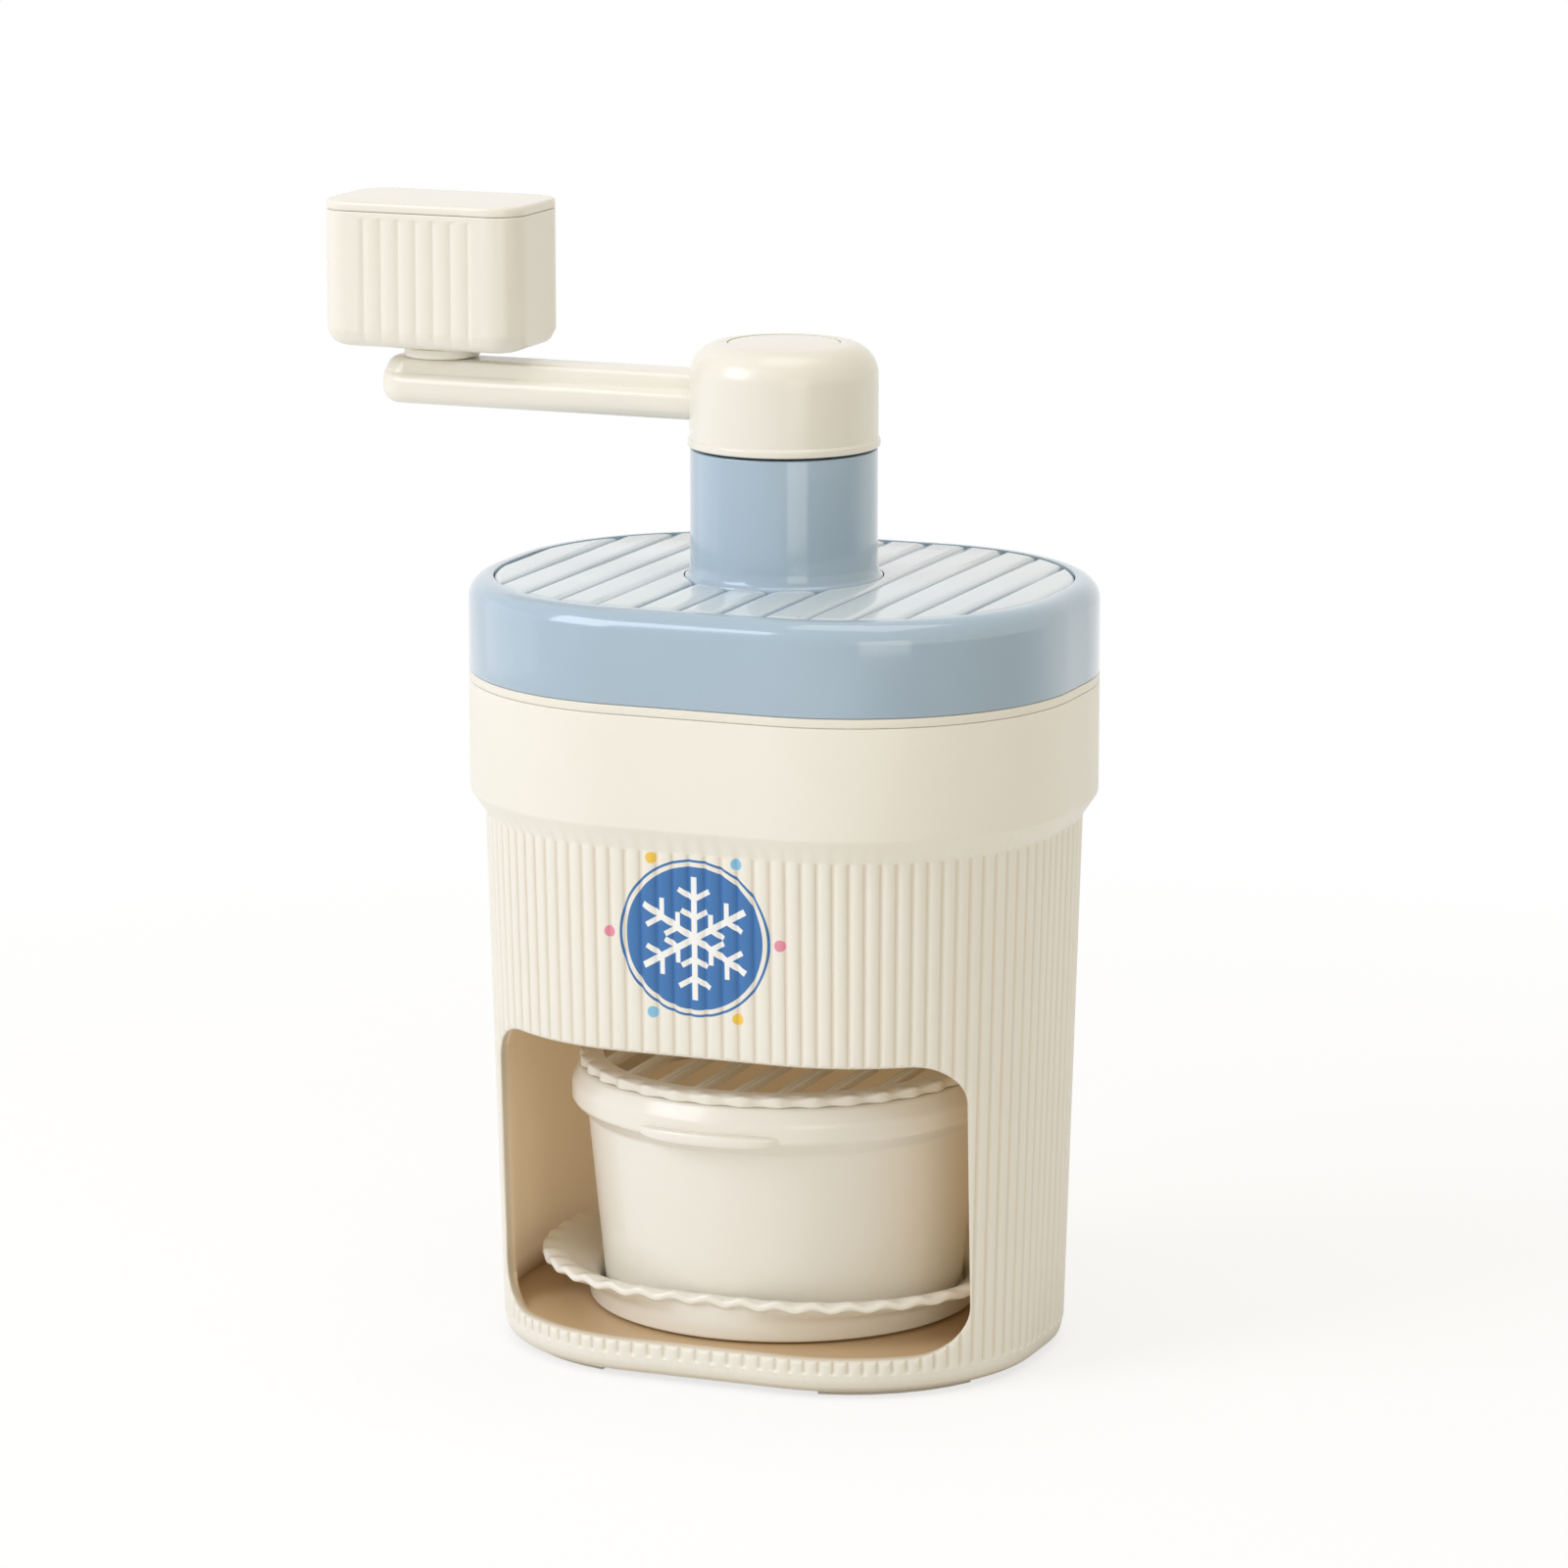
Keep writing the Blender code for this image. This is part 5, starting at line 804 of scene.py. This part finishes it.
cover = lofted("grip_lid", grip_plan, (
    (ring, 4.3, 0), (ring, 4.3, -4.0), (ring, 2.3, -4.0), (ring, 2.3, -0.2), (ring, 0, -0.2, 0.25),
    (ring, 0, 1.8, 1.7), (ring, 4.5, 1.8)), 0.25, steps=5)
shift(cover, PIN_X * MM, z=235.0 * MM)
piece(cover, "grip", glossy_cream, "grip_cover")
disc_profile = [(PIN_BORE, 203.6), (8.0, 203.6), (8.0, 205.6), (PIN_BORE, 205.6)]
disc = turned("pivot_disc", disc_profile, 96, loop=True, reach=0.35)
shift(disc, PIN_X * MM)
piece(disc, "grip", glossy_cream, "grip_collar")
dress(bright, "grip_pin")
dress(plated, "grip_clip")


# ---- Presser -------------------------------------------------------------------------
# A cream plate that slides on the shaft's square and turns with it. Six ribs stiffen it above, and rows of
# leaning spikes below drag the ice over the blade.
HUB = 9
plate = [(HUB, 85.7), (HUB, 88.0), (38.0, 88.0), (38.8, 88.8), (38.8, 91.0), (HUB, 91.0), (HUB, 100.0),
         (8.0, 100.0)]
presser = turned("presser_moulding", plate, 160)
angles = np.radians(np.arange(6) * 60)
ribs = repeat("ribs", block((30.5, 2.0, 6.5), (21.55, 0, 92.75)), [(0, 0, 0)] * 6, cream, spin=angles)
carve(presser, ribs, operation="UNION")
SPIKE_ROWS = ((15.0, 3, 15), (24.16, 4, 50), (33.31, 5, 10))
SPIKE_LEAN = 1.6
corners = np.array([(-1, -1), (1, -1), (1, 1), (-1, 1)], float)
tip = np.column_stack([corners[:, 0] * 0.72, corners[:, 1] * 0.72 - SPIKE_LEAN, np.full(4, 81.4)])
root = np.column_stack([corners * 3.0, np.full(4, 89.2)])
for radius, spikes, first in SPIKE_ROWS:
    spike = form("spike", [tip, root])
    turns = np.radians(first + 360 * np.arange(spikes) / spikes)
    places = [(radius * math.cos(a), radius * math.sin(a), 0) for a in turns]
    carve(presser, repeat("spikes", spike, places, cream, spin=turns), operation="UNION")
carve(presser, block((7.6, 7.6, 18.0), (0, 0, 93.0)))
piece(presser, "presser", cream, "presser")


# ---- Spring --------------------------------------------------------------------------
# Drawn spring wire, coiled cold, between the presser's hub and its seat under the lid. Drawing leaves the
# wire bright, with a dark sheen from tempering.
wire = steel("tempered spring wire", "#9FA0A4", 0.27, (1, 1, 1), 0.01)
coil, given = shape_tree("coil", Turns="Float", Radius="Float", Wire="Float", Bottom="Float", Height="Float")
line = put(coil, "GeometryNodeCurveSpiral", {
    "Resolution": 40, "Rotations": given["Turns"], "Start Radius": given["Radius"],
    "End Radius": given["Radius"], "Height": given["Height"]})
section = put(coil, "GeometryNodeCurvePrimitiveCircle", {"Resolution": 14, "Radius": given["Wire"]})
tube = put(coil, "GeometryNodeCurveToMesh", {"Curve": line, "Profile Curve": section, "Fill Caps": True})
lift = put(coil, COMBINE, {2: given["Bottom"]})
tube = put(coil, "GeometryNodeSetPosition", {"Geometry": tube, "Offset": lift})
end_tree(coil, tube, given)
spring = stand("presser_coil", bpy.data.meshes.new("presser_coil"))
grow(spring, coil, Turns=7.0, Radius=6.6 * MM, Wire=0.6 * MM, Bottom=100.9 * MM, Height=34.4 * MM,
     Material=wire)
piece(spring, "crank", wire, "presser_spring")
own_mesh(spring)


# ---- Cup -----------------------------------------------------------------------------
# A round cream beaker that catches the ice, with a band round its rim that is sloped above and below, and
# a narrow finger tab on the front of the band.
RIM = 44.7
cup_profile = [(35.5, 9.9), (36.6, 9.9), (37.7, 11.0), (41.3, 47.6), (RIM, 50.8), (RIM, 54.4), (43.2, 58.0),
               (41.3, 58.0), (41.3, 50.8), (39.4, 47.6), (36.01, 13.2), (34.91, 12.1)]
cup = turned("cup_moulding", cup_profile, 224, reach=0.7)
TAB_ROOT = 43.8
TAB_HEIGHT = 51.3


def squared(wave):
    """A wave with fuller crests, which draws an oval out towards a rectangle."""
    return np.sign(wave) * np.abs(wave) ** 0.6


sections = []
for share in np.linspace(-1, 1, 25):
    turn = math.radians(-90 + 22 * share)
    out = RIM - 0.6 + 2.5 * (1 - share ** 4)
    half = 1.45 * (1 - 0.55 * share ** 4)
    loop = np.linspace(0, 2 * math.pi, 16, endpoint=False)
    r = TAB_ROOT + (out - TAB_ROOT) * (0.5 + 0.5 * squared(np.cos(loop)))
    z = TAB_HEIGHT + half * squared(np.sin(loop))
    sections.append(np.column_stack([r * math.cos(turn), r * math.sin(turn), z]))
carve(cup, form("tab", sections), operation="UNION")
# Painted bounce light: a faint warm emission inside the cup, above its floor, makes the space under the
# strainer a warm tan, standing in for light through the cup's thin wall.
cup_cream = moulded("cream ABS with painted inner glow", "#EFECE3", "#EDE9DE", 0.24, coat=0.15, peel=1.8, relief=0.012)
tree, shader, place = opened(cup_cream)
split = put(tree, "ShaderNodeSeparateXYZ", {0: place}).outputs
flat = put(tree, COMBINE, {0: split[0], 1: split[1]})
reach = put(tree, VECTOR_MATH, {0: flat}, operation="LENGTH")
middle = put(tree, MATH, {0: split[2], 1: 0.1135, 2: 34.85 * MM}, operation="MULTIPLY_ADD")
inside = put(tree, MATH, {0: reach, 1: middle}, operation="LESS_THAN")
above = put(tree, MATH, {0: split[2], 1: 11.5 * MM}, operation="GREATER_THAN")
inside = put(tree, MATH, {0: inside, 1: above}, operation="MULTIPLY")
feed(shader, {"Emission Color": tone("#FFCF96"),
              "Emission Strength": put(tree, MATH, {0: inside, 1: 0.09}, operation="MULTIPLY")})
piece(cup, "cup", cup_cream, "cup")


# ---- Strainer ------------------------------------------------------------------------
# A cream ring that drops into the cup's mouth, with a wavy edge that rests on the rim and flat bars across
# that hold the ice above the melt water.
WAVES = 36
WAVE_POINTS = 14
SEAT = 58.08
edge_plan = oval(2, 2, 1, WAVES * WAVE_POINTS)
wave = np.cos(np.arange(WAVES * WAVE_POINTS) * 2 * math.pi / WAVE_POINTS)
strainer = lofted("strainer_ring", edge_plan, (
    (circle, 38.0, 58.5), (circle, 39.5, 58.5), (circle, 39.5, 53.3), (circle, 41.0, 53.3),
    (circle, 41.0, SEAT, 0.1), (circle, 42.7 + 0.45 * wave, SEAT, 0.35),
    (circle, 42.7 + 0.45 * wave, 60.0 + 0.4 * wave, 0.6), (circle, 41.0, 60.3, 0.8),
    (circle, 38.0, 60.3)), 0.3, loop=True)
bar_x = np.array([-30.8, -22.0, -13.2, -4.4, 4.4, 13.2, 22.0, 30.8])
bar_plan = np.array([(-1.1, 58.5), (1.1, 58.5), (1.1, 59.9), (0.85, 60.22), (0.4, 60.3), (-0.4, 60.3),
                     (-0.85, 60.22), (-1.1, 59.9)])
bar = form("bar", [np.column_stack([bar_plan[:, 0], np.full(8, y), bar_plan[:, 1]]) for y in (-1.0, 1.0)])
bars = repeat("bars", bar, [(x, 0, 0) for x in bar_x], cream, stretch=np.sqrt(38.7 ** 2 - bar_x ** 2))
carve(strainer, bars, operation="UNION")
piece(strainer, "strainer", glossy_cream, "strainer")


# ---- Saucer --------------------------------------------------------------------------
# A cream dish that slides out of the window with the cup. Its round bowl opens out to an oval flange with
# a thick, rounded and gently wavy edge.
SAUCER = (103.0, 87.0, 42.0)
DISH_WAVES = 40
dish_plan = oval(*SAUCER, DISH_WAVES * WAVE_POINTS)
swell = 0.5 * np.cos(np.arange(DISH_WAVES * WAVE_POINTS) * 2 * math.pi / WAVE_POINTS)
# The waves fade towards the dish's two ends.
swell = swell * (1 - 0.6 * dish_plan[1][:, 0] ** 4)
saucer = lofted("saucer_moulding", dish_plan, (
    (circle, 40.2, 7.6), (circle, 41.0, 8.0, 0.6), (circle, 41.7, 12.6, 1.5),
    (ring, 1.6, 15.2 + 0.3 * swell, 1.0), (ring, 0.02, 15.9 + swell, 0.9), (ring, 0.3, 17.3 + swell, 0.9),
    (ring, 2.2, 17.4 + 0.4 * swell, 1.2), (ring, 4.8, 16.8, 1.5), (circle, 39.0, 12.6, 1.5),
    (circle, 38.2, 9.6, 0.5), (circle, 36.0, 9.6)), 0.6, steps=5)
piece(saucer, "saucer", glossy_cream, "saucer")


# ---- Room ----------------------------------------------------------------------------
# A pale floor and a plain pale surround, one large soft light from the left and a small one low on that
# side, a weaker one above and a warm one from the right, and the camera.
def eye_rays(tree):
    """One for the rays that the eye follows: from the camera, and on by reflection or through glass."""
    path = put(tree, "ShaderNodeLightPath").outputs
    seen = put(tree, MATH, {0: path["Is Camera Ray"], 1: path["Is Glossy Ray"]}, operation="MAXIMUM")
    return put(tree, MATH, {0: seen, 1: path["Is Transmission Ray"]}, operation="MAXIMUM")


FLOOR_HALF = 4
FLOOR_Z = -0.00122
floor_paint = bpy.data.materials.new("pale floor")
floor_paint.use_nodes = True
tree = floor_paint.node_tree
tree.nodes.clear()
mirrored = put(tree, "ShaderNodeLightPath").outputs["Is Glossy Ray"]
spot = put(tree, "ShaderNodeTexCoord").outputs["Object"]
away = put(tree, VECTOR_MATH, {0: spot}, operation="LENGTH")
fade = put(tree, RANGE, {"Value": away, "From Min": 0.12, "From Max": 0.5})
matt = put(tree, "ShaderNodeBsdfDiffuse", {"Color": (0.3, 0.3, 0.3, 1)})
# Reflections show the floor darker to the right, as where a studio has a dark screen on that side.
aside = put(tree, VECTOR_MATH, {0: spot}, operation="NORMALIZE")
aside = put(tree, VECTOR_MATH, {0: aside, 1: (0.966, -0.26, 0)}, operation="DOT_PRODUCT")
aside = put(tree, RANGE, {"Value": aside, "From Min": 0.5, "From Max": 0.85, "To Min": 1.0, "To Max": 0.25})
level = put(tree, MIX, {0: mirrored, 2: 1.0, 3: aside})
glow = put(tree, "ShaderNodeEmission", {"Color": (0.71, 0.71, 0.71, 1), "Strength": level})
near = put(tree, "ShaderNodeAddShader", {0: matt, 1: glow})
white = put(tree, "ShaderNodeEmission", {"Color": (1, 1, 1, 1), "Strength": level})
shown = put(tree, "ShaderNodeMixShader", {0: fade, 1: near, 2: white})
plain = put(tree, "ShaderNodeBsdfDiffuse", {"Color": (0.86, 0.86, 0.86, 1)})
whole = put(tree, "ShaderNodeMixShader", {0: eye_rays(tree), 1: plain, 2: shown})
put(tree, "ShaderNodeOutputMaterial", {"Surface": whole})
ground_mesh = bpy.data.meshes.new("floor")
corners = [(x * FLOOR_HALF, y * FLOOR_HALF, FLOOR_Z) for x, y in ((-1, -1), (1, -1), (1, 1), (-1, 1))]
ground_mesh.from_pydata(corners, [], [(0, 1, 2, 3)])
ground_mesh.materials.append(floor_paint)
ground_plane = stand("floor", ground_mesh)

world = bpy.data.worlds.new("pale room")
world.use_nodes = True
bpy.context.scene.world = world
tree = world.node_tree
tree.nodes.clear()
shade = put(tree, MIX, {0: eye_rays(tree), 6: (0.61, 0.563, 0.485, 1), 7: (1, 1, 1, 1)}, data_type="RGBA")
put(tree, "ShaderNodeOutputWorld", {"Surface": put(tree, "ShaderNodeBackground", {"Color": shade})})

# Each light's power comes from the share of a white surface's full brightness that it gives at the object.
AIM = Vector((0, 0, 0.11))
for name, place, size, share, colour in (
        ("key", (-0.95, -1.05, 0.95), 0.9, 0.38, (0.935, 0.985, 1.12)),
        ("side", (-0.62, -0.06, 0.12), 0.5, 0.07, (0.97, 1.0, 1.05)),
        ("top", (0.1, 0.0, 1.7), 1.0, 0.2, (1.0, 1.0, 1.0)),
        ("fill", (0.85, -1.1, 0.25), 0.6, 0.1, (1.0, 0.94, 0.84))):
    lamp = bpy.data.lights.new(name, "AREA")
    lamp.size = size
    lamp.color = colour
    aim = AIM - Vector(place)
    lamp.energy = share * math.pi ** 2 * aim.length_squared
    holder = stand(name, lamp)
    holder.location = place
    holder.rotation_euler = aim.to_track_quat("-Z", "Y").to_euler()
    holder.visible_camera = False

CAMERA_TURN = math.radians(21.759)
CAMERA_DROP = math.radians(90 - 11.569)
CAMERA_AWAY = 1.417407
CAMERA_HEIGHT = 0.4073
lens = bpy.data.cameras.new("camera")
lens.lens = 158.88
lens.sensor_width = 36
lens.clip_start = 0.05
camera = stand("camera", lens)
camera.location = (math.sin(CAMERA_TURN) * CAMERA_AWAY, -math.cos(CAMERA_TURN) * CAMERA_AWAY, CAMERA_HEIGHT)
camera.rotation_euler = (CAMERA_DROP, 0, CAMERA_TURN)
bpy.context.scene.camera = camera
bpy.context.scene.view_settings.view_transform = "Standard"
